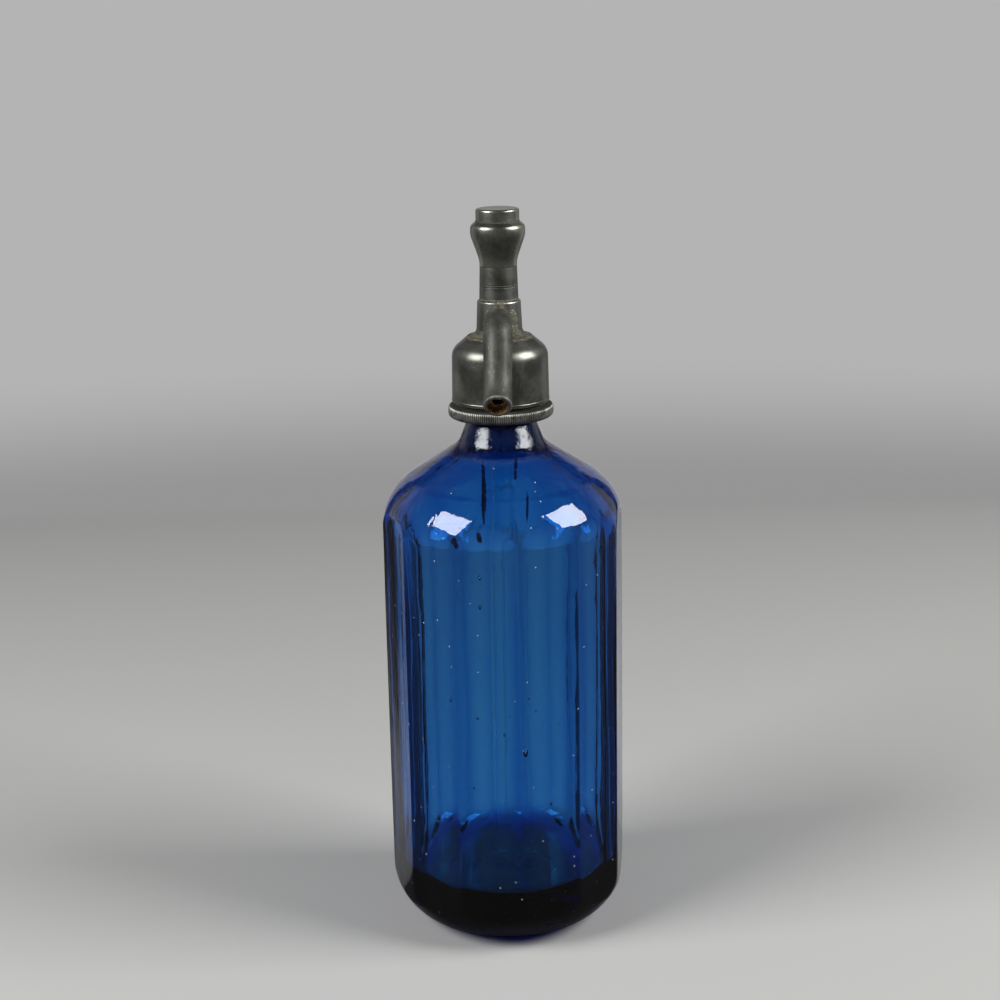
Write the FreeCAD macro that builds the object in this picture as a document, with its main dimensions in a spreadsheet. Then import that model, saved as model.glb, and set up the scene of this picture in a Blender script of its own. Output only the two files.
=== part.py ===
import FreeCAD, Part
import os
import re

import Sketcher

# Soda siphon: a panelled glass bottle under a pewter dispensing head.
#
# Frame: origin at the middle of the bottle's base, +Z up, spout towards -Y, lever towards +Y.
# The bottle is drawn from the base. Everything in the head is drawn from the bottle's lip, and
# its body is then lifted by LIP, so a taller bottle carries its whole head up with it.

SIZES = [
    # the glass
    ("body_radius", 50.0, "radius of the blown body"),
    ("panel_depth", 1.5, "how deep each flat panel is ground, at its middle"),
    ("panel_count", 12, "flat panels round the body"),
    ("panel_turn", 5.0, "degrees from the front to the nearest panel edge"),
    ("heel_radius", 24.0, "round from the side into the base"),
    ("shoulder_height", 184.0, "where the side would meet the shoulder"),
    ("shoulder_run", 11.0, "shoulder's first slope, inwards"),
    ("shoulder_bend", 25.0, "round from the side into the shoulder"),
    ("shoulder_top_bend", 15.0, "round between the shoulder's two slopes"),
    ("cone_slope", 32.9, "degrees above level of the shoulder's upper slope"),
    ("shoulder_break", 9.66, "degrees that the first slope is steeper than that"),
    ("neck_root_radius", 17.8, "where the shoulder would meet the neck"),
    ("neck_root_bend", 9.0, "hollow round at the foot of the neck"),
    ("neck_flare", 11.7, "height over which the neck narrows"),
    ("neck_length", 18.2, "foot of the neck to the underside of its bead"),
    ("neck_radius", 13.2, "neck under the bead"),
    ("bead_step", 2.3, "how far the bead that the head hangs on stands out from the neck"),
    ("bead_height", 7.0, "straight side of the bead"),
    ("finish_height", 9.0, "underside of the bead to the lip"),
    ("lip_step", 1.0, "how much narrower the ground lip is than the bead"),
    ("neck_wall", 3.7, "wall of the neck"),
    ("glass_wall", 5.5, "wall of the blown body"),
    ("floor_height", 22.0, "thick base, to the inner floor"),
    ("floor_bend", 9.0, "round from the inner floor into the wall"),
    ("throat_bend", 5.0, "round from the inner shoulder into the neck"),
    ("glass_edge", 1.0, "round on the bead and the lip"),
    # clearances
    ("running_gap", 0.05, "gap between faces that move on each other"),
    ("fit_gap", 0.05, "gap round a piece seated in a bore"),
    ("thread_gap", 0.1, "radial gap in a screwed joint"),
    ("slip_gap", 0.2, "radial gap where a piece slips over the glass"),
    # split ring and collar
    ("split_ring_height", 3.5, "split ring under the bead"),
    ("split_ring_ledge", 1.3, "how far the split ring rests on the collar"),
    ("split_ring_split", 4.0, "degrees between the halves of the split ring"),
    ("collar_rim", 3.3, "how far the knurled rim stands out from the screwed sleeve"),
    ("collar_thickness", 5.0, "knurled rim, along the axis"),
    ("collar_ledge", 3.6, "thickness under the split ring"),
    ("collar_wall", 1.0, "wall of the collar's screwed sleeve"),
    ("collar_bevel", 0.8, "bevel on the knurled rim"),
    ("collar_end_gap", 1.0, "top of the screwed sleeve to the lip"),
    ("knurl_count", 150, "grooves round the rim"),
    ("knurl_depth", 0.4, "depth of each groove"),
    ("knurl_half_width", 0.34, "half the width of each groove"),
    # head casting, heights from the lip
    ("skirt_gap", 1.3, "collar to the lower edge of the skirt"),
    ("skirt_wall", 1.5, "wall of the skirt"),
    ("skirt_lip", 0.15, "raised line round the skirt's edge"),
    ("skirt_lip_height", 1.4, "height of that line"),
    ("skirt_taper", 0.3, "how much the skirt narrows"),
    ("skirt_overlap", 0.5, "how far the gasket recess comes down over the lip"),
    ("dome_height", 11.4, "where the skirt would meet the dome"),
    ("dome_bend", 6.3, "round from the skirt into the dome"),
    ("dome_rise", 5.6, "height of the dome"),
    ("tower_radius", 9.4, "foot of the cast tower"),
    ("tower_bend", 3.3, "hollow round at the foot of the tower"),
    ("ridge_flat", 0.2, "turned ridge outside that round"),
    ("tower_taper", 0.65, "how much the tower narrows"),
    ("tower_top_bend", 0.9, "round on the top of the cast tower"),
    ("tower_rim", 1.95, "cast tower above the root of the spout"),
    ("gasket_overhang", 1.1, "how far the neck gasket stands out from the lip"),
    ("gasket_thickness", 2.5, "neck gasket"),
    ("gasket_clearance", 0.75, "neck gasket's bore round the bush's flange"),
    ("bush_radius", 7.5, "bush that grips the dip tube"),
    ("bush_length", 6.0, "bush inside the head"),
    ("bush_flange", 1.3, "bush flange, outwards"),
    ("bush_flange_drop", 1.5, "bush flange, thickness"),
    ("passage_radius", 3.2, "way from the dip tube to the valve"),
    ("passage_length", 2.5, "length of that way"),
    ("chamber_radius", 5.6, "valve chamber"),
    # dip tube
    ("dip_radius", 4.5, "outside of the dip tube"),
    ("dip_wall", 1.4, "wall of the dip tube"),
    ("dip_gap", 5.0, "inner floor to the foot of the dip tube"),
    ("dip_slant", 40.0, "degrees of the cut at its foot"),
    # spout
    ("spout_clearance", 1.05, "ridge up to the underside of the spout"),
    ("spout_radius", 5.75, "outside of the spout"),
    ("spout_bore", 2.2, "waterway"),
    ("spout_root_wall", 0.5, "sleeve's thread to the inner end of the spout"),
    ("spout_yaw", 2.0, "degrees that the spout is turned to the left"),
    ("elbow_overhang", 5.25, "how far the inside of the elbow lies over the dome"),
    ("elbow_bend", 9.0, "radius of the elbow"),
    ("spout_run", 17.2, "elbow out to the middle of the mouth"),
    ("spout_drop", 28.6, "root of the spout down to the middle of the mouth"),
    ("tip_length", 9.0, "last straight run of the spout"),
    ("tip_angle", 34.0, "degrees below level of that run"),
    ("tip_bend", 20.0, "radius of the last bend"),
    ("mouth_radius", 4.2, "recess in the mouth"),
    ("mouth_depth", 3.5, "depth of that recess"),
    ("mouth_rounding", 1.0, "round on the outside of the mouth"),
    # valve
    ("seat_thickness", 2.2, "valve seat"),
    ("seat_bore", 2.2, "way through the seat"),
    ("seat_lip", 0.6, "raised lip that the disc closes on"),
    ("seat_lip_width", 0.8, "width of that lip"),
    ("disc_radius", 4.4, "rubber disc"),
    ("disc_thickness", 2.5, "rubber disc"),
    ("screw_radius", 1.25, "shank of the screw that holds the disc"),
    ("screw_length", 8.0, "shank under its head"),
    ("screw_head_radius", 1.9, "head of that screw"),
    ("screw_head_height", 1.2, "head of that screw"),
    ("screw_spare", 0.5, "empty end of the hole for that screw"),
    ("screw_slot", 0.5, "width and depth of a driver slot"),
    ("piston_flange_radius", 4.8, "flange behind the disc"),
    ("piston_flange", 1.7, "thickness of that flange"),
    ("stem_radius", 2.6, "stem in the packing"),
    ("crosshead_drop", 5.0, "tongue's axis to the underside of the crosshead"),
    ("crosshead_rise", 6.0, "tongue's axis to the top of the crosshead"),
    ("spring_stem_radius", 1.9, "stem inside the spring"),
    ("spring_stem_length", 16.0, "stem inside the spring"),
    # packing
    ("packing_washer_thickness", 0.7, "washer under the packing"),
    ("packing_radius", 5.0, "recess for the packing"),
    ("packing_height", 2.6, "recess for the packing"),
    ("packing_lip", 0.6, "thickness of each lip of the leather cup"),
    ("packing_crown", 0.8, "thickness of the cup's closed side"),
    # tower sleeve
    ("sleeve_thread_radius", 6.6, "screwed foot of the sleeve"),
    ("sleeve_engagement", 4.6, "length of that foot"),
    ("sleeve_foot_radius", 7.9, "sleeve where it leaves the casting"),
    ("sleeve_radius", 7.5, "sleeve at the cap"),
    ("sleeve_height", 13.5, "sleeve between the casting and the cap"),
    ("sleeve_bore", 4.6, "bore that guides the crosshead"),
    ("guide_thickness", 1.7, "wall above the packing that guides the stem"),
    ("sleeve_neck_radius", 6.2, "screwed neck inside the cap"),
    ("sleeve_neck", 5.5, "length of that neck"),
    # lever
    ("tip_height", 5.5, "top of the casting up to the tongue's tip"),
    ("lever_arm", 13.0, "pivot to the tongue's tip"),
    ("lever_swing", 13.0, "degrees from shut to full open"),
    ("tip_radius", 1.6, "round end of the tongue"),
    ("tip_gap", 0.1, "gap above and below that round end"),
    ("tongue_width", 3.2, "tongue, across"),
    ("tongue_step", 0.75, "how much slimmer the tongue is behind its tip, on each side"),
    ("tongue_root", 1.5, "half the tongue's thickness at the hub"),
    ("hub_radius", 3.1, "lever's hub"),
    ("hub_width", 4.0, "lever's hub, across"),
    ("lever_thickness", 3.0, "lever's arm"),
    ("lever_width", 9.0, "lever's arm, across"),
    ("thumb_width", 16.0, "thumb plate, across"),
    ("thumb_rounding", 6.5, "round on the thumb plate's corners"),
    ("arm_run", 13.0, "hub to the arm's first bend"),
    ("arm_slope_run", 16.0, "first bend to the second, outwards"),
    ("arm_slope_drop", 10.0, "first bend to the second, down"),
    ("arm_fall_run", 8.0, "second bend to the third, outwards"),
    ("arm_fall_drop", 22.0, "second bend to the third, down"),
    ("thumb_run", 8.0, "third bend to the end, outwards"),
    ("thumb_drop", 14.0, "third bend to the end, down"),
    ("arm_first_bend", 14.0, "radius of the first bend"),
    ("arm_second_bend", 17.0, "radius of the second bend"),
    ("arm_third_bend", 30.0, "radius of the third bend"),
    ("neck_in_length", 4.0, "hub to where the arm starts to widen"),
    ("neck_out_length", 12.0, "hub to where the arm has its full width"),
    ("ear_thickness", 2.5, "each ear that carries the pivot"),
    ("ear_gap", 0.1, "gap on each side of the hub"),
    ("ear_radius", 3.2, "ear round the pivot"),
    ("ear_root_height", 5.8, "ear above and below the pivot at the sleeve"),
    ("ear_root", 1.0, "how far inside the sleeve's wall the ears start"),
    ("pin_radius", 1.5, "pivot pin"),
    ("pin_head_radius", 2.5, "pivot pin's head"),
    ("pin_head", 1.2, "pivot pin's head, thickness"),
    ("nut_wall", 0.7, "nut's flats out from the pin"),
    ("nut_thickness", 1.3, "nut on the pivot pin"),
    ("pin_end", 0.3, "pin showing past its nut"),
    # spring and cap
    ("plate_thickness", 1.0, "washer under the spring"),
    ("plate_side_gap", 0.2, "gap between that washer and the sleeve"),
    ("plate_gap", 0.1, "gap between that washer and the stem"),
    ("wire_radius", 0.45, "spring wire"),
    ("coil_radius", 3.25, "axis to the middle of the wire"),
    ("coil_turns", 7, "turns of the spring"),
    ("cap_foot", 2.4, "straight foot of the cap"),
    ("cap_foot_flare", 0.05, "how much that foot widens"),
    ("cap_foot_share", 0.92, "share of the foot that the hollow round above it takes"),
    ("cap_bulge_radius", 11.5, "where the cap's two slopes would meet"),
    ("cap_bulge_height", 12.8, "seam up to the bulge"),
    ("cap_bulge_bend", 7.0, "round on the bulge"),
    ("cap_collar_radius", 8.75, "collar on top of the cap"),
    ("cap_collar_height", 18.2, "seam up to that collar"),
    ("cap_collar_bend", 4.0, "hollow round under that collar"),
    ("cap_height", 23.0, "seam up to the top of the cap"),
    ("cap_top_bend", 1.0, "round on the top of the cap"),
    ("cap_roof", 4.0, "thickness over the spring"),
    ("cap_bore", 4.75, "bore round the spring"),
    ("cap_gasket_thickness", 0.5, "washer inside the cap"),
]

ALIASES = {name for name, _, _ in SIZES}

# Places that several pieces share, as expressions over the sizes.
FIRST_SLOPE = "atan(1 / tan(cone_slope + shoulder_break))"
CONE_RUN = "(body_radius - shoulder_run - neck_root_radius)"
SECOND_SLOPE = "atan(1 / tan(cone_slope))"
BREAK_HEIGHT = "(shoulder_height + shoulder_run * tan(cone_slope + shoulder_break))"
NECK_ROOT = f"({BREAK_HEIGHT} + {CONE_RUN} * tan(cone_slope))"
BEAD_UNDERSIDE = f"({NECK_ROOT} + neck_length)"
LIP = f"({BEAD_UNDERSIDE} + finish_height)"

BEAD_RADIUS = "(neck_radius + bead_step)"
LIP_RADIUS = f"({BEAD_RADIUS} - lip_step)"
NECK_BORE = "(neck_radius - neck_wall)"

SPLIT_RING_BORE = "(neck_radius + slip_gap)"
COLLAR_BORE = f"({BEAD_RADIUS} + slip_gap)"
SPLIT_RING_RADIUS = f"({COLLAR_BORE} + split_ring_ledge)"
COLLAR_POCKET = f"({SPLIT_RING_RADIUS} + slip_gap)"
COLLAR_SLEEVE = f"({COLLAR_POCKET} + collar_wall)"
COLLAR_RADIUS = f"({COLLAR_SLEEVE} + collar_rim)"
SPLIT_RING_TOP = "(-finish_height)"
SPLIT_RING_FOOT = "(-finish_height - split_ring_height)"
COLLAR_FOOT = f"({SPLIT_RING_FOOT} - running_gap - collar_ledge)"
COLLAR_TOP = f"({COLLAR_FOOT} + collar_thickness)"
SKIRT_FOOT = f"({COLLAR_TOP} + skirt_gap)"
SKIRT_BORE = f"({COLLAR_SLEEVE} + thread_gap)"
SKIRT_RADIUS = f"({SKIRT_BORE} + skirt_wall)"
DOME_RADIUS = f"({SKIRT_RADIUS} - skirt_taper)"
RIDGE_RADIUS = "(tower_radius + tower_bend + ridge_flat)"
RIDGE_HEIGHT = "(dome_height + dome_rise)"
TOWER_TOP_RADIUS = "(tower_radius - tower_taper)"
SPOUT_HEIGHT = f"({RIDGE_HEIGHT} + spout_clearance + spout_radius)"
HEAD_HEIGHT = f"({SPOUT_HEIGHT} + spout_radius + tower_rim)"
SPOUT_SEAT = "(sleeve_thread_radius + thread_gap + spout_root_wall)"
ELBOW_REACH = f"({SKIRT_RADIUS} + spout_radius - elbow_overhang)"
SPOUT_REACH = f"({ELBOW_REACH} + spout_run)"
GASKET_RADIUS = f"({LIP_RADIUS} + gasket_overhang)"
FLANGE_RADIUS = "(bush_radius + bush_flange)"
GASKET_BORE = f"({FLANGE_RADIUS} + gasket_clearance)"

BUSH_TOP = "(gasket_thickness + bush_length)"
SEAT_FLOOR = f"({BUSH_TOP} + passage_length)"
SEAT_TOP = f"({SEAT_FLOOR} + seat_thickness + seat_lip)"
DISC_FOOT = f"({SEAT_TOP} + running_gap)"
DISC_TOP = f"({DISC_FOOT} + disc_thickness)"
SLEEVE_FOOT = f"({HEAD_HEIGHT} - sleeve_engagement)"
CHAMBER_TOP = f"({SLEEVE_FOOT} - packing_washer_thickness)"
PACKING_TOP = f"({SLEEVE_FOOT} + packing_height)"
GUIDE_TOP = f"({PACKING_TOP} + guide_thickness)"
SEAM = f"({HEAD_HEIGHT} + sleeve_height)"
SLEEVE_TOP = f"({SEAM} + sleeve_neck)"
CAP_FOOT = f"({SEAM} + running_gap)"
CAP_SHOULDER = f"({SLEEVE_TOP} + running_gap + cap_gasket_thickness)"
CAP_TOP = f"({SEAM} + cap_height)"
CAP_CEILING = f"({CAP_TOP} - cap_roof)"
CAP_THREAD = "(sleeve_neck_radius + thread_gap)"

TIP_AXIS = f"({HEAD_HEIGHT} + tip_height)"
LEVER_DIP = "(lever_swing / 2)"
PIVOT_OUT = f"(lever_arm * cos({LEVER_DIP}))"
PIVOT_UP = f"({TIP_AXIS} + lever_arm * sin({LEVER_DIP}))"
VALVE_LIFT = f"(2 * lever_arm * sin({LEVER_DIP}))"
CROSSHEAD_TOP = f"({TIP_AXIS} + crosshead_rise)"
PLATE_TOP = f"({CROSSHEAD_TOP} + plate_thickness)"
EAR_HALF = "(hub_width / 2 + ear_gap + ear_thickness)"

doc = FreeCAD.newDocument("soda_siphon")
sheet = doc.addObject("Spreadsheet::Sheet", "Sizes")
for row, (name, size, meaning) in enumerate(SIZES, start=1):
    sheet.set(f"A{row}", meaning)
    sheet.set(f"B{row}", str(size))
    sheet.setAlias(f"B{row}", name)
doc.recompute()

pieces = []

SIDE_TURN = 40.0  # degrees from the X axis to the points that stand for a round edge
TOUCHING = 1e-3  # an edge or face this near to a point passes through it
NUT_SIDES = 6
WIRE_SIDES = 8  # the spring's wire is drawn eight-sided, to keep its faces few


def linked(expression):
    """Write the sheet's name before each size that an expression uses."""

    def with_sheet(word):
        return f"Sizes.{word[0]}" if word[0] in ALIASES else word[0]

    return re.sub(r"[a-z][a-z_]*", with_sheet, expression)


def number(expression):
    """Work out an expression with the sizes as they are now."""
    return float(pieces[0].evalExpression(linked(expression)))


def new_piece(name, lift=LIP):
    """Start a body named after its piece, lifted to its place."""
    body = doc.addObject("PartDesign::Body", name)
    body.Label = name
    pieces.append(body)
    if lift:
        body.setExpression("Placement.Base.z", linked(lift))
    return body


def new_sketch(body, name, role, offset=None):
    """Put an empty sketch on one of the body's own planes, moved along its normal by offset."""
    plane = next(item for item in body.Origin.OriginFeatures if item.Role == role)
    sketch = body.newObject("Sketcher::SketchObject", f"{body.Name}_{name}")
    sketch.AttachmentSupport = (plane, [""])
    sketch.MapMode = "FlatFace"
    if offset:
        sketch.setExpression("AttachmentOffset.Base.z", linked(offset))
    return sketch


def constrain(sketch, expression, kind, *places):
    """Add a constraint of a given size and bind it to the sheet."""
    index = sketch.addConstraint(Sketcher.Constraint(kind, *places, number(expression)))
    sketch.setExpression(f"Constraints[{index}]", linked(expression))


def fix_point(sketch, geometry, end, across, along):
    """Place one point of a sketch by two expressions from the sketch's origin."""
    for kind, axis, expression in (("DistanceX", -2, across), ("DistanceY", -1, along)):
        if expression == "0":
            sketch.addConstraint(Sketcher.Constraint("PointOnObject", geometry, end, axis))
        else:
            constrain(sketch, expression, kind, -1, 1, geometry, end)


def point_of(across, along):
    """A sketch point from two expressions."""
    return FreeCAD.Vector(number(across), number(along), 0)


def draw_outline(sketch, corners):
    """Draw a closed outline through corners given as pairs of expressions."""
    points = [point_of(*corner) for corner in corners]
    first = sketch.GeometryCount
    count = len(corners)
    for index in range(count):
        sketch.addGeometry(Part.LineSegment(points[index], points[(index + 1) % count]), False)
    for index in range(count):
        following = first + (index + 1) % count
        sketch.addConstraint(Sketcher.Constraint("Coincident", first + index, 2, following, 1))
    for index, corner in enumerate(corners):
        fix_point(sketch, first + index, 1, *corner)


def draw_circle(sketch, across, along, radius):
    """Draw a circle whose centre and radius are expressions."""
    circle = Part.Circle(point_of(across, along), FreeCAD.Vector(0, 0, 1), number(radius))
    index = sketch.addGeometry(circle, False)
    fix_point(sketch, index, 3, across, along)
    constrain(sketch, radius, "Radius", index)


def draw_polygon(sketch, across, along, inradius, sides):
    """Draw a regular polygon, with one of its flats on the right, round a given centre."""
    corner_radius = f"({inradius} / cos(180 / {sides}))"
    corners = []
    for index in range(sides):
        turn = f"(360 * ({index} + 1 / 2) / {sides})"
        corners.append((
            f"{across} + {corner_radius} * cos{turn}",
            f"{along} + {corner_radius} * sin{turn}",
        ))
    draw_outline(sketch, corners)


def draw_bent_line(sketch, corners, bends):
    """Draw an open line through corners, with a tangent arc of a given radius at each inner one."""
    points = [point_of(*corner) for corner in corners]
    lines = []
    arcs = []
    starts = [points[0]]
    ends = []
    for index, bend in enumerate(bends, start=1):
        before = (points[index - 1] - points[index]).normalize()
        after = (points[index + 1] - points[index]).normalize()
        inset = number(bend) * ((1 + before.dot(after)) / (1 - before.dot(after))) ** 0.5
        ends.append(points[index] + before * inset)
        starts.append(points[index] + after * inset)
    ends.append(points[-1])
    for index, (start, end) in enumerate(zip(starts, ends)):
        lines.append(sketch.addGeometry(Part.LineSegment(start, end), False))
        if index < len(bends):
            middle = middle_of_bend(points[index + 1], ends[index], starts[index + 1])
            arc = Part.Arc(ends[index], middle, starts[index + 1])
            arcs.append(sketch.addGeometry(arc, False))
    for index, arc in enumerate(arcs):
        arc_start, arc_end = arc_ends(sketch, arc, ends[index])
        sketch.addConstraint(Sketcher.Constraint("Tangent", lines[index], 2, arc, arc_start))
        sketch.addConstraint(Sketcher.Constraint("Tangent", lines[index + 1], 1, arc, arc_end))
        constrain(sketch, bends[index], "Radius", arc)
        corner = sketch.addGeometry(Part.Point(points[index + 1]), True)
        fix_point(sketch, corner, 1, *corners[index + 1])
        sketch.addConstraint(Sketcher.Constraint("PointOnObject", corner, 1, lines[index]))
        sketch.addConstraint(Sketcher.Constraint("PointOnObject", corner, 1, lines[index + 1]))
    fix_point(sketch, lines[0], 1, *corners[0])
    fix_point(sketch, lines[-1], 2, *corners[-1])


def middle_of_bend(corner, start, end):
    """A point on the arc that leaves one line at start and joins the next at end."""
    inset = (start - corner).Length
    halfway = (start + end) * 0.5
    depth = (halfway - corner).Length
    half_chord = (end - start).Length / 2
    radius = inset * half_chord / depth
    centre_distance = (radius * radius + inset * inset) ** 0.5
    return corner + (halfway - corner).normalize() * (centre_distance - radius)


def arc_ends(sketch, arc, start):
    """Which of an arc's two ends lies at start, then the other."""
    if (sketch.getPoint(arc, 1) - start).Length < TOUCHING:
        return 1, 2
    return 2, 1


def add_feature(body, kind, name, sketch):
    """Add a sketch-based feature to the body."""
    feature = body.newObject(f"PartDesign::{kind}", f"{body.Name}_{name}")
    feature.Profile = sketch
    sketch.Visibility = False
    return feature


def revolve(body, name, corners, angle=None, around="V_Axis", role="XZ_Plane"):
    """Turn an outline round the body's axis."""
    sketch = new_sketch(body, f"{name}_outline", role)
    draw_outline(sketch, corners)
    feature = add_feature(body, "Revolution", name, sketch)
    feature.ReferenceAxis = (sketch, [around])
    if angle:
        feature.Midplane = True
        feature.setExpression("Angle", linked(angle))
    doc.recompute()
    return feature


def pad(body, name, sketch, length):
    """Pad a sketch by the same length to both of its sides, length in all."""
    feature = add_feature(body, "Pad", name, sketch)
    feature.SideType = "Symmetric"
    feature.setExpression("Length", linked(length))
    doc.recompute()
    return feature


def pocket(body, name, sketch, length=None, reverse=False):
    """Cut a sketch out of the body: through it both ways, or by a length to one side."""
    feature = add_feature(body, "Pocket", name, sketch)
    if length:
        feature.Reversed = reverse
        feature.setExpression("Length", linked(length))
    else:
        feature.SideType = "Symmetric"
        feature.Type = "ThroughAll"
    doc.recompute()
    return feature


def repeat_round(body, name, feature, count):
    """Repeat a cut round the body's upright axis."""
    pattern = body.newObject("PartDesign::PolarPattern", f"{body.Name}_{name}")
    pattern.Originals = [feature]
    axis = next(item for item in body.Origin.OriginFeatures if item.Role == "Z_Axis")
    pattern.Axis = (axis, [""])
    pattern.Angle = 360
    pattern.setExpression("Occurrences", linked(count))
    body.Tip = pattern
    doc.recompute()


def on_ring(radius, height):
    """A point a little way round the circle of a given radius and height."""
    turn = FreeCAD.Rotation(FreeCAD.Vector(0, 0, 1), SIDE_TURN)
    return turn.multVec(FreeCAD.Vector(number(radius), 0, number(height)))


def element_through(body, kind, point):
    """Name of the body's face or edge that passes through a point."""
    for index, element in enumerate(getattr(body.Tip.Shape, kind), start=1):
        if element.distToShape(Part.Vertex(point))[0] < TOUCHING:
            return f"{kind[:-1]}{index}"
    raise ValueError(f"{body.Label} has nothing at {point}")


def edges_through(body, points):
    """Names of the body's edges that pass through one of the points."""
    names = []
    for index, edge in enumerate(body.Tip.Shape.Edges, start=1):
        if any(edge.distToShape(Part.Vertex(point))[0] < TOUCHING for point in points):
            names.append(f"Edge{index}")
    return names


def round_edges(body, radius, points):
    """Round every edge of the body that passes through one of the points."""
    base = (body.Tip, edges_through(body, points))
    fillet = body.newObject("PartDesign::Fillet", f"{body.Name}_round_{len(body.Group)}")
    fillet.Base = base
    fillet.setExpression("Radius", linked(radius))
    doc.recompute()


def bevel_edges(body, size, points):
    """Bevel every edge of the body that passes through one of the points."""
    base = (body.Tip, edges_through(body, points))
    bevel = body.newObject("PartDesign::Chamfer", f"{body.Name}_bevel_{len(body.Group)}")
    bevel.Base = base
    bevel.setExpression("Size", linked(size))
    doc.recompute()


def make_bottle():
    """Blown bottle with twelve ground panels, a thick base and a beaded neck."""
    body = new_piece("glass_bottle", lift=None)
    middle = f"(({FIRST_SLOPE} + {SECOND_SLOPE}) / 2)"
    spread = f"(({SECOND_SLOPE} - {FIRST_SLOPE}) / 2)"
    cavity = "(body_radius - glass_wall)"
    inner_shoulder = f"(shoulder_height - glass_wall * tan({FIRST_SLOPE} / 2))"
    inner_break = (
        f"(body_radius - shoulder_run - glass_wall * cos({middle}) / cos({spread}))",
        f"({BREAK_HEIGHT} - glass_wall * sin({middle}) / cos({spread}))",
    )
    throat_narrowing = f"(neck_root_radius - glass_wall * cos({SECOND_SLOPE}) - {NECK_BORE})"
    throat = f"({NECK_ROOT} - glass_wall * sin({SECOND_SLOPE}) + {throat_narrowing} * tan(cone_slope))"
    revolve(body, "blown", [
        ("0", "0"),
        ("body_radius", "0"),
        ("body_radius", "shoulder_height"),
        ("body_radius - shoulder_run", BREAK_HEIGHT),
        ("neck_root_radius", NECK_ROOT),
        ("neck_radius", f"{NECK_ROOT} + neck_flare"),
        ("neck_radius", BEAD_UNDERSIDE),
        (BEAD_RADIUS, BEAD_UNDERSIDE),
        (BEAD_RADIUS, f"{BEAD_UNDERSIDE} + bead_height"),
        (LIP_RADIUS, LIP),
        (NECK_BORE, LIP),
        (NECK_BORE, throat),
        inner_break,
        (cavity, inner_shoulder),
        (cavity, "floor_height"),
        ("0", "floor_height"),
    ])
    round_edges(body, "heel_radius", [on_ring("body_radius", "0")])
    round_edges(body, "shoulder_bend", [on_ring("body_radius", "shoulder_height")])
    round_edges(body, "shoulder_top_bend", [on_ring("body_radius - shoulder_run", BREAK_HEIGHT)])
    round_edges(body, "neck_root_bend", [on_ring("neck_root_radius", NECK_ROOT)])
    round_edges(body, "floor_bend", [on_ring(cavity, "floor_height")])
    round_edges(body, "shoulder_bend - glass_wall", [on_ring(cavity, inner_shoulder)])
    round_edges(body, "throat_bend", [on_ring(NECK_BORE, throat)])
    round_edges(body, "glass_edge", [
        on_ring(BEAD_RADIUS, BEAD_UNDERSIDE),
        on_ring(BEAD_RADIUS, f"{BEAD_UNDERSIDE} + bead_height"),
        on_ring(LIP_RADIUS, LIP),
        on_ring(NECK_BORE, LIP),
    ])
    sketch = new_sketch(body, "panel_outline", "XY_Plane")
    half_panel = "(body_radius * sin(180 / panel_count))"
    panel_face = "(body_radius - panel_depth)"
    beyond = "(body_radius + glass_wall)"
    draw_outline(sketch, [
        (panel_face, f"-{half_panel}"),
        (beyond, f"-{half_panel}"),
        (beyond, half_panel),
        (panel_face, half_panel),
    ])
    panel = pocket(body, "panel", sketch, BREAK_HEIGHT, reverse=True)
    repeat_round(body, "panels", panel, "panel_count")
    body.setExpression("Placement.Rotation.Angle", linked("180 / panel_count + panel_turn"))


def make_split_rings():
    """Two half rings that carry the bead on the collar."""
    for name, turn in (("neck_split_ring_right", 0), ("neck_split_ring_left", 180)):
        body = new_piece(name)
        revolve(body, "half", [
            (SPLIT_RING_BORE, SPLIT_RING_FOOT),
            (SPLIT_RING_RADIUS, SPLIT_RING_FOOT),
            (SPLIT_RING_RADIUS, SPLIT_RING_TOP),
            (SPLIT_RING_BORE, SPLIT_RING_TOP),
        ], angle="180 - split_ring_split")
        body.Placement.Rotation = FreeCAD.Rotation(FreeCAD.Vector(0, 0, 1), turn)


def make_collar():
    """Knurled collar with a ledge for the split ring and a sleeve that screws into the skirt."""
    body = new_piece("collar_nut")
    revolve(body, "turned", [
        (COLLAR_BORE, COLLAR_FOOT),
        (COLLAR_RADIUS, COLLAR_FOOT),
        (COLLAR_RADIUS, COLLAR_TOP),
        (COLLAR_SLEEVE, COLLAR_TOP),
        (COLLAR_SLEEVE, "-collar_end_gap"),
        (COLLAR_POCKET, "-collar_end_gap"),
        (COLLAR_POCKET, f"{SPLIT_RING_FOOT} - running_gap"),
        (COLLAR_BORE, f"{SPLIT_RING_FOOT} - running_gap"),
    ])
    bevel_edges(body, "collar_bevel", [
        on_ring(COLLAR_RADIUS, COLLAR_FOOT),
        on_ring(COLLAR_RADIUS, COLLAR_TOP),
    ])
    sketch = new_sketch(body, "groove_outline", "XY_Plane", COLLAR_TOP)
    draw_outline(sketch, [
        (f"{COLLAR_RADIUS} - knurl_depth", "0"),
        (f"{COLLAR_RADIUS} + knurl_depth", "-2 * knurl_half_width"),
        (f"{COLLAR_RADIUS} + knurl_depth", "2 * knurl_half_width"),
    ])
    groove = pocket(body, "groove", sketch, "collar_thickness")
    repeat_round(body, "knurl", groove, "knurl_count")


def make_neck_gasket():
    """Rubber ring between the lip and the head."""
    body = new_piece("neck_gasket")
    revolve(body, "ring", [
        (GASKET_BORE, "0"),
        (GASKET_RADIUS, "0"),
        (GASKET_RADIUS, "gasket_thickness"),
        (GASKET_BORE, "gasket_thickness"),
    ])


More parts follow.
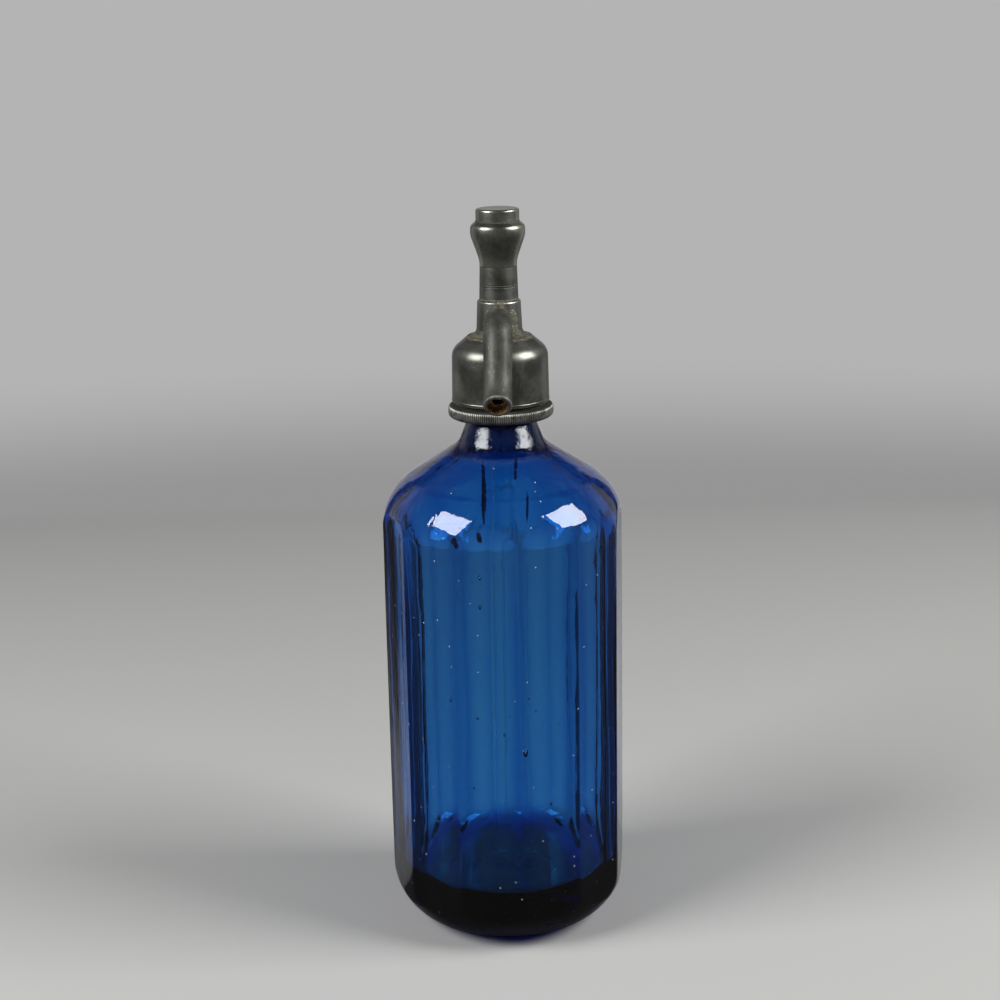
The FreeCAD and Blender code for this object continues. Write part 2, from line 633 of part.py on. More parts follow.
def make_head():
    """Cast head: skirt, dome and tower, with the waterway from the dip tube to the spout."""
    body = new_piece("head_body")
    recess = f"({GASKET_RADIUS} + fit_gap)"
    revolve(body, "casting", [
        (SKIRT_BORE, SKIRT_FOOT),
        (f"{SKIRT_RADIUS} + skirt_lip", SKIRT_FOOT),
        (f"{SKIRT_RADIUS} + skirt_lip", f"{SKIRT_FOOT} + skirt_lip_height"),
        (SKIRT_RADIUS, f"{SKIRT_FOOT} + skirt_lip_height + skirt_lip"),
        (DOME_RADIUS, "dome_height"),
        (RIDGE_RADIUS, RIDGE_HEIGHT),
        ("tower_radius", RIDGE_HEIGHT),
        (TOWER_TOP_RADIUS, HEAD_HEIGHT),
        ("sleeve_thread_radius + thread_gap", HEAD_HEIGHT),
        ("sleeve_thread_radius + thread_gap", CHAMBER_TOP),
        ("chamber_radius", CHAMBER_TOP),
        ("chamber_radius", SEAT_FLOOR),
        ("passage_radius", SEAT_FLOOR),
        ("passage_radius", BUSH_TOP),
        ("bush_radius + fit_gap", BUSH_TOP),
        ("bush_radius + fit_gap", "gasket_thickness"),
        (recess, "gasket_thickness"),
        (recess, "-skirt_overlap"),
        (SKIRT_BORE, "-skirt_overlap"),
    ])
    round_edges(body, "dome_bend", [on_ring(DOME_RADIUS, "dome_height")])
    round_edges(body, "tower_bend", [on_ring("tower_radius", RIDGE_HEIGHT)])
    round_edges(body, "tower_top_bend", [on_ring(TOWER_TOP_RADIUS, HEAD_HEIGHT)])
    socket = new_sketch(body, "socket_outline", "XZ_Plane", f"-{SPOUT_SEAT}")
    draw_circle(socket, "0", SPOUT_HEIGHT, "spout_radius + fit_gap")
    pocket(body, "socket", socket, SPOUT_REACH)
    port = new_sketch(body, "port_outline", "XZ_Plane")
    draw_circle(port, "0", SPOUT_HEIGHT, "spout_bore")
    pocket(body, "port", port, SPOUT_REACH)
    body.setExpression("Placement.Rotation.Angle", linked("180 - spout_yaw"))


def make_spout():
    """Thick spout: out of the tower, down through an elbow and forward to its mouth."""
    body = new_piece("spout_tube")
    mouth_up = f"({SPOUT_HEIGHT} - spout_drop)"
    tip_out = f"({SPOUT_REACH} - tip_length * cos(tip_angle))"
    corners = [
        (SPOUT_SEAT, SPOUT_HEIGHT),
        (ELBOW_REACH, SPOUT_HEIGHT),
        (tip_out, f"{mouth_up} + tip_length * sin(tip_angle)"),
        (SPOUT_REACH, mouth_up),
    ]
    path = new_sketch(body, "path", "YZ_Plane")
    draw_bent_line(path, corners, ["elbow_bend", "tip_bend"])
    outside = new_sketch(body, "outside", "XZ_Plane", f"-{SPOUT_SEAT}")
    draw_circle(outside, "0", SPOUT_HEIGHT, "spout_radius")
    tube = add_feature(body, "AdditivePipe", "tube", outside)
    tube.Spine = path
    doc.recompute()
    tip_direction = FreeCAD.Rotation(FreeCAD.Vector(1, 0, 0), -number("tip_angle"))
    mouth = FreeCAD.Vector(0, number(SPOUT_REACH), number(mouth_up))
    rim = mouth + tip_direction.multVec(FreeCAD.Vector(0, 0, number("spout_radius")))
    round_edges(body, "mouth_rounding", [rim])
    bore = new_sketch(body, "bore", "XZ_Plane", f"-{SPOUT_SEAT}")
    draw_circle(bore, "0", SPOUT_HEIGHT, "spout_bore")
    waterway = add_feature(body, "SubtractivePipe", "waterway", bore)
    waterway.Spine = path
    doc.recompute()
    bore_rim = mouth + tip_direction.multVec(FreeCAD.Vector(0, 0, number("spout_bore")))
    recess = body.newObject("Sketcher::SketchObject", "spout_tube_recess")
    recess.AttachmentSupport = (body.Tip, [element_through(body, "Faces", (rim + bore_rim) * 0.5)])
    recess.MapMode = "FlatFace"
    recess.addExternal(body.Tip.Name, element_through(body, "Edges", bore_rim))
    outline = Part.Circle(FreeCAD.Vector(), FreeCAD.Vector(0, 0, 1), number("mouth_radius"))
    circle = recess.addGeometry(outline, False)
    recess.addConstraint(Sketcher.Constraint("Coincident", circle, 3, -3, 3))
    constrain(recess, "mouth_radius", "Radius", circle)
    pocket(body, "mouth", recess, "mouth_depth")
    body.setExpression("Placement.Rotation.Angle", linked("180 - spout_yaw"))


def make_dip_tube():
    """Glass tube from the head down to the thick base, cut on a slant at its foot."""
    body = new_piece("dip_tube", lift=None)
    foot = "(floor_height + dip_gap)"
    top = f"({LIP} + {BUSH_TOP} - fit_gap)"
    revolve(body, "tube", [
        ("dip_radius - dip_wall", foot),
        ("dip_radius", foot),
        ("dip_radius", top),
        ("dip_radius - dip_wall", top),
    ])
    sketch = new_sketch(body, "slant_outline", "YZ_Plane")
    draw_outline(sketch, [
        ("-dip_radius - slip_gap", f"{foot} - slip_gap"),
        ("dip_radius + slip_gap", f"{foot} - slip_gap"),
        ("dip_radius + slip_gap", f"{foot} + 2 * dip_radius * tan(dip_slant)"),
    ])
    pocket(body, "slant", sketch)


def make_dip_tube_bush():
    """Rubber bush that holds the dip tube in the head and keeps the gas out of it."""
    body = new_piece("dip_tube_bush")
    revolve(body, "ring", [
        ("dip_radius + fit_gap", "gasket_thickness - bush_flange_drop"),
        (FLANGE_RADIUS, "gasket_thickness - bush_flange_drop"),
        (FLANGE_RADIUS, "gasket_thickness"),
        ("bush_radius", "gasket_thickness"),
        ("bush_radius", BUSH_TOP),
        ("dip_radius + fit_gap", BUSH_TOP),
    ])


def make_valve_seat():
    """Turned seat with a raised lip at the foot of the valve chamber."""
    body = new_piece("valve_seat")
    seat_face = f"({SEAT_FLOOR} + seat_thickness)"
    revolve(body, "ring", [
        ("seat_bore", SEAT_FLOOR),
        ("chamber_radius - fit_gap", SEAT_FLOOR),
        ("chamber_radius - fit_gap", seat_face),
        ("seat_bore + 2 * seat_lip_width", seat_face),
        ("seat_bore + seat_lip_width", SEAT_TOP),
        ("seat_bore", SEAT_TOP),
    ])


def make_valve_disc():
    """Rubber disc that closes on the seat."""
    body = new_piece("valve_disc")
    revolve(body, "disc", [
        ("screw_radius + fit_gap", DISC_FOOT),
        ("disc_radius", DISC_FOOT),
        ("disc_radius", DISC_TOP),
        ("screw_radius + fit_gap", DISC_TOP),
    ])


def make_disc_screw():
    """Screw that holds the disc to the foot of the piston."""
    body = new_piece("disc_screw")
    head_foot = f"({DISC_FOOT} - screw_head_height)"
    revolve(body, "screw", [
        ("0", head_foot),
        ("screw_head_radius", head_foot),
        ("screw_head_radius", DISC_FOOT),
        ("screw_radius", DISC_FOOT),
        ("screw_radius", f"{DISC_FOOT} + screw_length"),
        ("0", f"{DISC_FOOT} + screw_length"),
    ])
    cut_slot(body, "XZ_Plane", head_foot)


def cut_slot(body, role, face):
    """Cut a driver slot across a face that lies at a given distance along the sketch's upright."""
    sketch = new_sketch(body, "slot_outline", role)
    draw_outline(sketch, [
        ("-screw_slot / 2", f"{face} - screw_slot"),
        ("screw_slot / 2", f"{face} - screw_slot"),
        ("screw_slot / 2", f"{face} + screw_slot"),
        ("-screw_slot / 2", f"{face} + screw_slot"),
    ])
    pocket(body, "slot", sketch)


def make_piston():
    """Piston: flange behind the disc, stem, slotted crosshead and the stem inside the spring."""
    body = new_piece("valve_piston")
    hole_end = f"({DISC_FOOT} + screw_length + screw_spare)"
    crosshead_radius = "(sleeve_bore - tip_gap)"
    revolve(body, "turned", [
        ("screw_radius + fit_gap", DISC_TOP),
        ("piston_flange_radius", DISC_TOP),
        ("piston_flange_radius", f"{DISC_TOP} + piston_flange"),
        ("stem_radius", f"{DISC_TOP} + piston_flange"),
        ("stem_radius", f"{TIP_AXIS} - crosshead_drop"),
        (crosshead_radius, f"{TIP_AXIS} - crosshead_drop"),
        (crosshead_radius, CROSSHEAD_TOP),
        ("spring_stem_radius", CROSSHEAD_TOP),
        ("spring_stem_radius", f"{CROSSHEAD_TOP} + spring_stem_length"),
        ("0", f"{CROSSHEAD_TOP} + spring_stem_length"),
        ("0", hole_end),
        ("screw_radius + fit_gap", hole_end),
    ])
    sketch = new_sketch(body, "window_outline", "XZ_Plane")
    half_width = "(tongue_width / 2 + tip_gap)"
    draw_outline(sketch, [
        (f"-{half_width}", f"{TIP_AXIS} - tip_radius - tip_gap"),
        (half_width, f"{TIP_AXIS} - tip_radius - tip_gap"),
        (half_width, f"{TIP_AXIS} + tip_radius + tip_gap"),
        (f"-{half_width}", f"{TIP_AXIS} + tip_radius + tip_gap"),
    ])
    pocket(body, "window", sketch)


def make_packing():
    """Washer on the casting's ledge, and the leather cup that seals the stem above it."""
    washer = new_piece("packing_washer")
    revolve(washer, "ring", [
        ("stem_radius + slip_gap", CHAMBER_TOP),
        ("sleeve_thread_radius", CHAMBER_TOP),
        ("sleeve_thread_radius", SLEEVE_FOOT),
        ("stem_radius + slip_gap", SLEEVE_FOOT),
    ])
    cup = new_piece("piston_packing")
    inner = "(stem_radius + running_gap)"
    outer = "(packing_radius - fit_gap)"
    crown = f"({PACKING_TOP} - packing_crown)"
    revolve(cup, "cup", [
        (inner, SLEEVE_FOOT),
        (f"{inner} + packing_lip", SLEEVE_FOOT),
        (f"{inner} + packing_lip", crown),
        (f"{outer} - packing_lip", crown),
        (f"{outer} - packing_lip", SLEEVE_FOOT),
        (outer, SLEEVE_FOOT),
        (outer, PACKING_TOP),
        (inner, PACKING_TOP),
    ])


def make_sleeve():
    """Tower sleeve: screwed into the casting, with a slot for the tongue and ears for the pivot."""
    body = new_piece("tower_sleeve")
    revolve(body, "turned", [
        ("packing_radius", SLEEVE_FOOT),
        ("sleeve_thread_radius", SLEEVE_FOOT),
        ("sleeve_thread_radius", HEAD_HEIGHT),
        ("sleeve_foot_radius", HEAD_HEIGHT),
        ("sleeve_radius", SEAM),
        ("sleeve_neck_radius", SEAM),
        ("sleeve_neck_radius", SLEEVE_TOP),
        ("sleeve_bore", SLEEVE_TOP),
        ("sleeve_bore", GUIDE_TOP),
        ("stem_radius + running_gap", GUIDE_TOP),
        ("stem_radius + running_gap", PACKING_TOP),
        ("packing_radius", PACKING_TOP),
    ])
    ears = new_sketch(body, "ears_outline", "YZ_Plane")
    draw_outline(ears, [
        ("sleeve_bore + ear_root", f"{PIVOT_UP} - ear_root_height"),
        (f"{PIVOT_OUT} + ear_radius", f"{PIVOT_UP} - ear_radius"),
        (f"{PIVOT_OUT} + ear_radius", f"{PIVOT_UP} + ear_radius"),
        ("sleeve_bore + ear_root", f"{PIVOT_UP} + ear_root_height"),
    ])
    pad(body, "ears", ears, f"2 * {EAR_HALF}")
    round_edges(body, "ear_radius - fit_gap", [
        FreeCAD.Vector(0, number(f"{PIVOT_OUT} + ear_radius"), number(f"{PIVOT_UP} - ear_radius")),
        FreeCAD.Vector(0, number(f"{PIVOT_OUT} + ear_radius"), number(f"{PIVOT_UP} + ear_radius")),
    ])
    half_gap = "(hub_width / 2 + ear_gap)"
    fork = new_sketch(body, "fork_outline", "XY_Plane")
    draw_outline(fork, [
        (f"-{half_gap}", "sleeve_radius"),
        (half_gap, "sleeve_radius"),
        (half_gap, f"{PIVOT_OUT} + 2 * ear_radius"),
        (f"-{half_gap}", f"{PIVOT_OUT} + 2 * ear_radius"),
    ])
    pocket(body, "fork", fork)
    half_slot = "(tongue_width / 2 + slip_gap)"
    slot = new_sketch(body, "slot_outline", "XZ_Plane")
    draw_outline(slot, [
        (f"-{half_slot}", f"{TIP_AXIS} - tip_radius"),
        (half_slot, f"{TIP_AXIS} - tip_radius"),
        (half_slot, f"{TIP_AXIS} + {VALVE_LIFT} + tip_radius"),
        (f"-{half_slot}", f"{TIP_AXIS} + {VALVE_LIFT} + tip_radius"),
    ])
    pocket(body, "slot", slot, PIVOT_OUT)
    hole = new_sketch(body, "hole_outline", "YZ_Plane")
    draw_circle(hole, PIVOT_OUT, PIVOT_UP, "pin_radius + running_gap")
    pocket(body, "hole", hole)


def place_at_pivot(body, tilt=None):
    """Put a piece drawn round the lever's pivot at that pivot, tipped up by tilt."""
    body.setExpression("Placement.Base.y", linked(PIVOT_OUT))
    body.setExpression("Placement.Base.z", linked(f"{LIP} + {PIVOT_UP}"))
    if tilt:
        body.Placement.Rotation = FreeCAD.Rotation(FreeCAD.Vector(1, 0, 0), number(tilt))
        body.setExpression("Placement.Rotation.Angle", linked(tilt))


def make_lever():
    """Lever: round-ended tongue, hub, and a bent arm that widens to the thumb plate."""
    body = new_piece("lever", lift=None)
    hub = new_sketch(body, "hub_outline", "YZ_Plane")
    draw_circle(hub, "0", "0", "hub_radius")
    pad(body, "hub", hub, "hub_width")
    tongue = new_sketch(body, "tongue_outline", "YZ_Plane")
    draw_outline(tongue, [
        ("-lever_arm", "tongue_step - tip_radius"),
        ("0", "-tongue_root"),
        ("0", "tongue_root"),
        ("-lever_arm", "tip_radius - tongue_step"),
    ])
    pad(body, "tongue", tongue, "tongue_width")
    tip = new_sketch(body, "tip_outline", "YZ_Plane")
    draw_circle(tip, "-lever_arm", "0", "tip_radius")
    pad(body, "tip", tip, "tongue_width")
    path = new_sketch(body, "path", "YZ_Plane")
    fall_out = "(arm_run + arm_slope_run + arm_fall_run)"
    fall_down = "(-arm_slope_drop - arm_fall_drop)"
    draw_bent_line(path, [
        ("0", "0"),
        ("arm_run", "0"),
        ("arm_run + arm_slope_run", "-arm_slope_drop"),
        (fall_out, fall_down),
        (f"{fall_out} + thumb_run", f"{fall_down} - thumb_drop"),
    ], ["arm_first_bend", "arm_second_bend", "arm_third_bend"])
    section = new_sketch(body, "section", "XZ_Plane")
    half_thumb = "(thumb_width / 2)"
    half_thick = "(lever_thickness / 2)"
    draw_outline(section, [
        (f"-{half_thumb}", f"-{half_thick}"),
        (half_thumb, f"-{half_thick}"),
        (half_thumb, half_thick),
        (f"-{half_thumb}", half_thick),
    ])
    arm = add_feature(body, "AdditivePipe", "arm", section)
    arm.Spine = path
    doc.recompute()
    trim_lever_from_above(body)
    trim_lever_from_behind(body, fall_out, fall_down)
    bore = new_sketch(body, "bore_outline", "YZ_Plane")
    draw_circle(bore, "0", "0", "pin_radius + running_gap")
    pocket(body, "bore", bore)
    place_at_pivot(body, LEVER_DIP)


def trim_lever_from_above(body):
    """Narrow the arm beside the hub, seen from above."""
    for side in ("", "-"):
        sketch = new_sketch(body, "plan_outline", "XY_Plane")
        draw_outline(sketch, [
            (f"{side}(hub_width / 2)", "-hub_radius"),
            (f"{side}(hub_width / 2)", "neck_in_length"),
            (f"{side}(lever_width / 2)", "neck_out_length"),
            (f"{side}(lever_width / 2)", "arm_run + arm_slope_run / 2"),
            (f"{side}thumb_width", "arm_run + arm_slope_run / 2"),
            (f"{side}thumb_width", "-hub_radius"),
        ])
        pocket(body, "plan", sketch)


def trim_lever_from_behind(body, fall_out, fall_down):
    """Taper the arm towards its upper end and round the thumb plate, seen from behind."""
    for side in ("", "-"):
        sketch = new_sketch(body, "back_outline", "XZ_Plane", "-arm_run - arm_slope_run / 4")
        draw_outline(sketch, [
            (f"{side}(lever_width / 2)", "lever_thickness"),
            (f"{side}(lever_width / 2)", "-arm_slope_drop"),
            (f"{side}(thumb_width / 2)", fall_down),
            (f"{side}thumb_width", fall_down),
            (f"{side}thumb_width", "lever_thickness"),
        ])
        pocket(body, "back", sketch, fall_out)
    end_out = number(f"{fall_out} + thumb_run")
    end_down = number(f"{fall_down} - thumb_drop")
    half_width = number("thumb_width / 2")
    corners = [FreeCAD.Vector(x, end_out, end_down) for x in (-half_width, half_width)]
    round_edges(body, "thumb_rounding", corners)


def make_pivot():
    """Pivot pin through the ears and the hub, and the nut on its end."""
    pin = new_piece("lever_pin", lift=None)
    end = f"({EAR_HALF} + running_gap + nut_thickness + pin_end)"
    revolve(pin, "turned", [
        (f"-{EAR_HALF} - pin_head", "0"),
        (f"-{EAR_HALF} - pin_head", "pin_head_radius"),
        (f"-{EAR_HALF}", "pin_head_radius"),
        (f"-{EAR_HALF}", "pin_radius"),
        (end, "pin_radius"),
        (end, "0"),
    ], around="H_Axis", role="XY_Plane")
    sketch = new_sketch(pin, "slot_outline", "XY_Plane")
    draw_outline(sketch, [
        (f"-{EAR_HALF} - 2 * pin_head", "-screw_slot / 2"),
        (f"-{EAR_HALF} - pin_head / 2", "-screw_slot / 2"),
        (f"-{EAR_HALF} - pin_head / 2", "screw_slot / 2"),
        (f"-{EAR_HALF} - 2 * pin_head", "screw_slot / 2"),
    ])
    pocket(pin, "slot", sketch)
    place_at_pivot(pin)
    nut = new_piece("lever_pin_nut", lift=None)
    hexagon = new_sketch(nut, "outline", "YZ_Plane", f"{EAR_HALF} + running_gap + nut_thickness / 2")
    draw_polygon(hexagon, "0", "0", "(pin_radius + nut_wall)", NUT_SIDES)
    pad(nut, "hexagon", hexagon, "nut_thickness")
    bore = new_sketch(nut, "bore_outline", "YZ_Plane")
    draw_circle(bore, "0", "0", "pin_radius + fit_gap")
    pocket(nut, "bore", bore)
    place_at_pivot(nut)


def make_spring():
    """Coil spring between the piston and the roof of the cap, and the washer under it."""
    plate = new_piece("spring_plate")
    revolve(plate, "ring", [
        ("spring_stem_radius + plate_gap", CROSSHEAD_TOP),
        ("sleeve_bore - plate_side_gap", CROSSHEAD_TOP),
        ("sleeve_bore - plate_side_gap", PLATE_TOP),
        ("spring_stem_radius + plate_gap", PLATE_TOP),
    ])
    spring = new_piece("return_spring")
    start = f"({PLATE_TOP} + running_gap + wire_radius)"
    wire = new_sketch(spring, "wire_outline", "XZ_Plane")
    draw_polygon(wire, "coil_radius", start, "wire_radius", WIRE_SIDES)
    coil = add_feature(spring, "AdditiveHelix", "coil", wire)
    coil.ReferenceAxis = (wire, ["V_Axis"])
    coil.Mode = "height-turns-angle"
    coil.setExpression("Turns", linked("coil_turns"))
    coil.setExpression("Height", linked(f"{CAP_CEILING} - {start} - wire_radius"))
    doc.recompute()


def make_cap():
    """Turned cap that screws onto the sleeve and holds the spring down, and its washer."""
    body = new_piece("tower_cap")
    foot_radius = "(sleeve_radius + cap_foot_flare)"
    foot_slope = f"atan((cap_bulge_radius - {foot_radius}) / (cap_bulge_height - cap_foot))"
    revolve(body, "turned", [
        (CAP_THREAD, CAP_FOOT),
        ("sleeve_radius", CAP_FOOT),
        (foot_radius, f"{SEAM} + cap_foot"),
        ("cap_bulge_radius", f"{SEAM} + cap_bulge_height"),
        ("cap_collar_radius", f"{SEAM} + cap_collar_height"),
        ("cap_collar_radius", CAP_TOP),
        ("0", CAP_TOP),
        ("0", CAP_CEILING),
        ("cap_bore", CAP_CEILING),
        ("cap_bore", CAP_SHOULDER),
        (CAP_THREAD, CAP_SHOULDER),
    ])
    foot_bend = f"(cap_foot * cap_foot_share / tan({foot_slope} / 2))"
    round_edges(body, foot_bend, [on_ring(foot_radius, f"{SEAM} + cap_foot")])
    round_edges(body, "cap_bulge_bend", [on_ring("cap_bulge_radius", f"{SEAM} + cap_bulge_height")])
    round_edges(body, "cap_collar_bend", [on_ring("cap_collar_radius", f"{SEAM} + cap_collar_height")])
    round_edges(body, "cap_top_bend", [on_ring("cap_collar_radius", CAP_TOP)])
    gasket = new_piece("cap_gasket")
    revolve(gasket, "ring", [
        ("cap_bore", f"{CAP_SHOULDER} - cap_gasket_thickness"),
        ("sleeve_neck_radius", f"{CAP_SHOULDER} - cap_gasket_thickness"),
        ("sleeve_neck_radius", CAP_SHOULDER),
        ("cap_bore", CAP_SHOULDER),
    ])


def check_model():
    """Stop before anything is written if a feature failed or a piece isn't one sound solid."""
    for item in doc.Objects:
        if "Invalid" in item.State or "Error" in item.State:
            raise RuntimeError(f"{item.Name} failed: {item.State}")
    for body in pieces:
        shape = body.Shape
        if shape.isNull() or not shape.isValid() or len(shape.Solids) != 1:
            raise RuntimeError(f"{body.Label} isn't one sound solid")


def export_pieces():
    """Write each piece's solid to a file with the piece's name."""
    os.makedirs("parts", exist_ok=True)
    for body in pieces:
        body.Shape.exportStep(f"parts/{body.Label}.step")
        print(f"{body.Label}: {body.Shape.Volume:.0f} mm3")


def main():
    """Build every piece, check them all and write them."""
    make_bottle()
    make_split_rings()
    make_collar()
    make_neck_gasket()
    make_head()
    make_spout()
    make_dip_tube()
    make_dip_tube_bush()
    make_valve_seat()
    make_valve_disc()
    make_disc_screw()
    make_piston()
    make_packing()
    make_sleeve()
    make_lever()
    make_pivot()
    make_spring()
    make_cap()
    check_model()
    export_pieces()


main()
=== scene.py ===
"""Soda siphon: a panelled cobalt bottle under an aged pewter dispensing head.

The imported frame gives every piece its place. Sizes are in millimetres, heights in the head count
from the bottle's lip, and meshes are written in metres.
"""

import logging
import math
from collections.abc import Callable, Iterable, Iterator
from contextlib import contextmanager
from dataclasses import dataclass, field
from enum import Enum

import bmesh
import bpy
import numpy as np
from mathutils import Matrix, Vector


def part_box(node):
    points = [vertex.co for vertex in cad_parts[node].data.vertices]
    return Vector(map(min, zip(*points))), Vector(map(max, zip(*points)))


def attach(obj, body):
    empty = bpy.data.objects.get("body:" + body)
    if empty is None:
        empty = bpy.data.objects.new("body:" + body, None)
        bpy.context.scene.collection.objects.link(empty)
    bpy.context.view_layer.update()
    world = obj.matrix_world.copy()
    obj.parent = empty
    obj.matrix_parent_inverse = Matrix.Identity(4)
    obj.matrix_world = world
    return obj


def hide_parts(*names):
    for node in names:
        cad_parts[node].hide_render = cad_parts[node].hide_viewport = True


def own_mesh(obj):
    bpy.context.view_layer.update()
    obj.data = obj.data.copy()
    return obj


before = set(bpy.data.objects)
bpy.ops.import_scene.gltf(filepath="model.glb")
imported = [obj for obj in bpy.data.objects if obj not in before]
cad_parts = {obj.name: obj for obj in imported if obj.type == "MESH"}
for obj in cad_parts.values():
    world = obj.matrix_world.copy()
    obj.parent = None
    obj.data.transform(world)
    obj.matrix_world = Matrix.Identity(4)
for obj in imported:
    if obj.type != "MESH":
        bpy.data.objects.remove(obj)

log = logging.getLogger("soda_siphon")

MM = 0.001
FULL_TURN = 2 * math.pi
NOTHING = 1e-6

Color = tuple[float, float, float]
Place = tuple[float, float, float]
Faces = list[tuple[int, ...]]
Feed = object
Object = bpy.types.Object
Mesh = bpy.types.Mesh
Node = bpy.types.Node
Socket = bpy.types.NodeSocket

BLACK: Color = (0.0, 0.0, 0.0)
WHITE: Color = (1.0, 1.0, 1.0)


class Body(str, Enum):
    """The bodies of the frame that new pieces ride on."""

    SIPHON = "siphon_body"
    COLLAR = "collar"
    CAP = "cap"
    LEVER = "lever"


class Slot(str, Enum):
    """The record's material slots that new pieces take."""

    BLUE_GLASS = "blue_glass"
    CLEAR_GLASS = "clear_glass"
    PEWTER = "pewter"
    STEEL = "steel"
    SPRING_STEEL = "spring_steel"


# ---------------------------------------------------------------- outlines


@dataclass(frozen=True)
class Corner:
    """A corner of an outline, in millimetres, with the radius of its round."""

    across: float
    up: float
    bend: float = 0.0


def corners(*rows: tuple[float, ...]) -> list[Corner]:
    """Make corners of rows of across, up and, where it is round, bend."""
    return [Corner(*row) for row in rows]


def trace(outline: list[Corner], run: float = 4.0, turn: float = 6.0) -> np.ndarray:
    """Sample an outline, with an arc at each corner that has a bend.

    Args:
        outline: its corners in order; the first and last stay sharp.
        run: the longest step along a straight part, in millimetres.
        turn: the largest step along an arc, in degrees.

    Returns:
        Points as rows of across and up.
    """
    points = [np.array([corner.across, corner.up]) for corner in outline]
    path = [points[0]]
    for index in range(1, len(outline) - 1):
        here, bend = points[index], outline[index].bend
        before = points[index - 1] - here
        after = points[index + 1] - here
        before = before / np.linalg.norm(before)
        after = after / np.linalg.norm(after)
        if bend <= 0:
            extend_straight(path, here, run)
            continue
        half = math.acos(float(np.clip(before @ after, -1, 1))) / 2
        inset = bend / math.tan(half)
        middle = (before + after) / np.linalg.norm(before + after)
        centre = here + middle * bend / math.sin(half)
        extend_straight(path, here + before * inset, run)
        first = here + before * inset - centre
        last = here + after * inset - centre
        swing = math.atan2(first[0] * last[1] - first[1] * last[0], float(first @ last))
        steps = max(2, math.ceil(abs(math.degrees(swing)) / turn))
        for step in range(1, steps + 1):
            angle = swing * step / steps
            cos, sin = math.cos(angle), math.sin(angle)
            offset = (first[0] * cos - first[1] * sin, first[0] * sin + first[1] * cos)
            path.append(centre + np.array(offset))
    extend_straight(path, points[-1], run)
    return np.array(path)


def extend_straight(path: list[np.ndarray], end: np.ndarray, run: float) -> None:
    """Lengthen a path to a point in even steps.

    Args:
        path: the points so far; the new ones are added to it.
        end: where the straight part ends.
        run: the longest step, in millimetres.
    """
    start = path[-1]
    distance = float(np.linalg.norm(end - start))
    if distance < NOTHING:
        return
    steps = max(1, math.ceil(distance / run))
    for step in range(1, steps + 1):
        path.append(start + (end - start) * step / steps)


# ---------------------------------------------------------------- meshes


def skin(rows: list[np.ndarray], looped: bool) -> tuple[np.ndarray, Faces]:
    """Join rings of points by faces; a ring of one point is a pole.

    Args:
        rows: rings in order, each with its points in millimetres.
        looped: whether the last ring joins the first.

    Returns:
        All points, and the faces as indices.
    """
    starts = np.cumsum([0] + [len(row) for row in rows])
    faces: Faces = []
    count = len(rows) if looped else len(rows) - 1
    for index in range(count):
        following = (index + 1) % len(rows)
        low, high = rows[index], rows[following]
        a, b = int(starts[index]), int(starts[following])
        sides = max(len(low), len(high))
        for side in range(sides):
            on = (side + 1) % sides
            if len(low) == 1:
                faces.append((a, b + on, b + side))
            elif len(high) == 1:
                faces.append((a + side, a + on, b))
            else:
                faces.append((a + side, a + on, b + on, b + side))
    return np.concatenate(rows), faces


def ring(radius: float, angles: np.ndarray, height: float) -> np.ndarray:
    """Lay points on a level circle, or a single one on the axis for no radius."""
    if radius < NOTHING:
        return np.array([[0.0, 0.0, height]])
    level = np.full(len(angles), height)
    return np.stack([radius * np.cos(angles), radius * np.sin(angles), level], axis=1)


@contextmanager
def editing(mesh: Mesh) -> Iterator[bmesh.types.BMesh]:
    """Open a mesh for editing, and write the result back to it."""
    work = bmesh.new()
    work.from_mesh(mesh)
    yield work
    work.to_mesh(mesh)
    work.free()


def link_object(name: str, data: bpy.types.ID) -> Object:
    """Make an object of some data and link it to the scene."""
    made = bpy.data.objects.new(name, data)
    bpy.context.scene.collection.objects.link(made)
    return made


def new_object(name: str, points: np.ndarray, faces: Faces) -> Object:
    """Make an object of a closed mesh, its faces turned outwards.

    Args:
        name: the piece's name.
        points: its points, in millimetres.
        faces: its faces.

    Returns:
        The object, linked to the scene.
    """
    mesh = bpy.data.meshes.new(name)
    mesh.from_pydata((points * MM).tolist(), [], faces)
    with editing(mesh) as work:
        bmesh.ops.remove_doubles(work, verts=work.verts, dist=1e-7)
        bmesh.ops.recalc_face_normals(work, faces=work.faces)
    return link_object(name, mesh)


def turned(name: str, outline: np.ndarray, angles: Iterable[float] | int = 96, closed: bool = True,
           lift: float = 0.0) -> Object:
    """Turn an outline round the upright axis.

    Args:
        name: the piece's name.
        outline: rows of radius and height, in millimetres.
        angles: the angles of its columns in radians, or how many even ones.
        closed: whether the outline's end joins its start; an open one starts and ends on the axis.
        lift: added to each height.

    Returns:
        The piece.
    """
    if isinstance(angles, int):
        angles = np.arange(angles) * (FULL_TURN / angles)
    around = np.asarray(list(angles))
    rows = [ring(radius, around, height + lift) for radius, height in outline]
    return new_object(name, *skin(rows, closed))


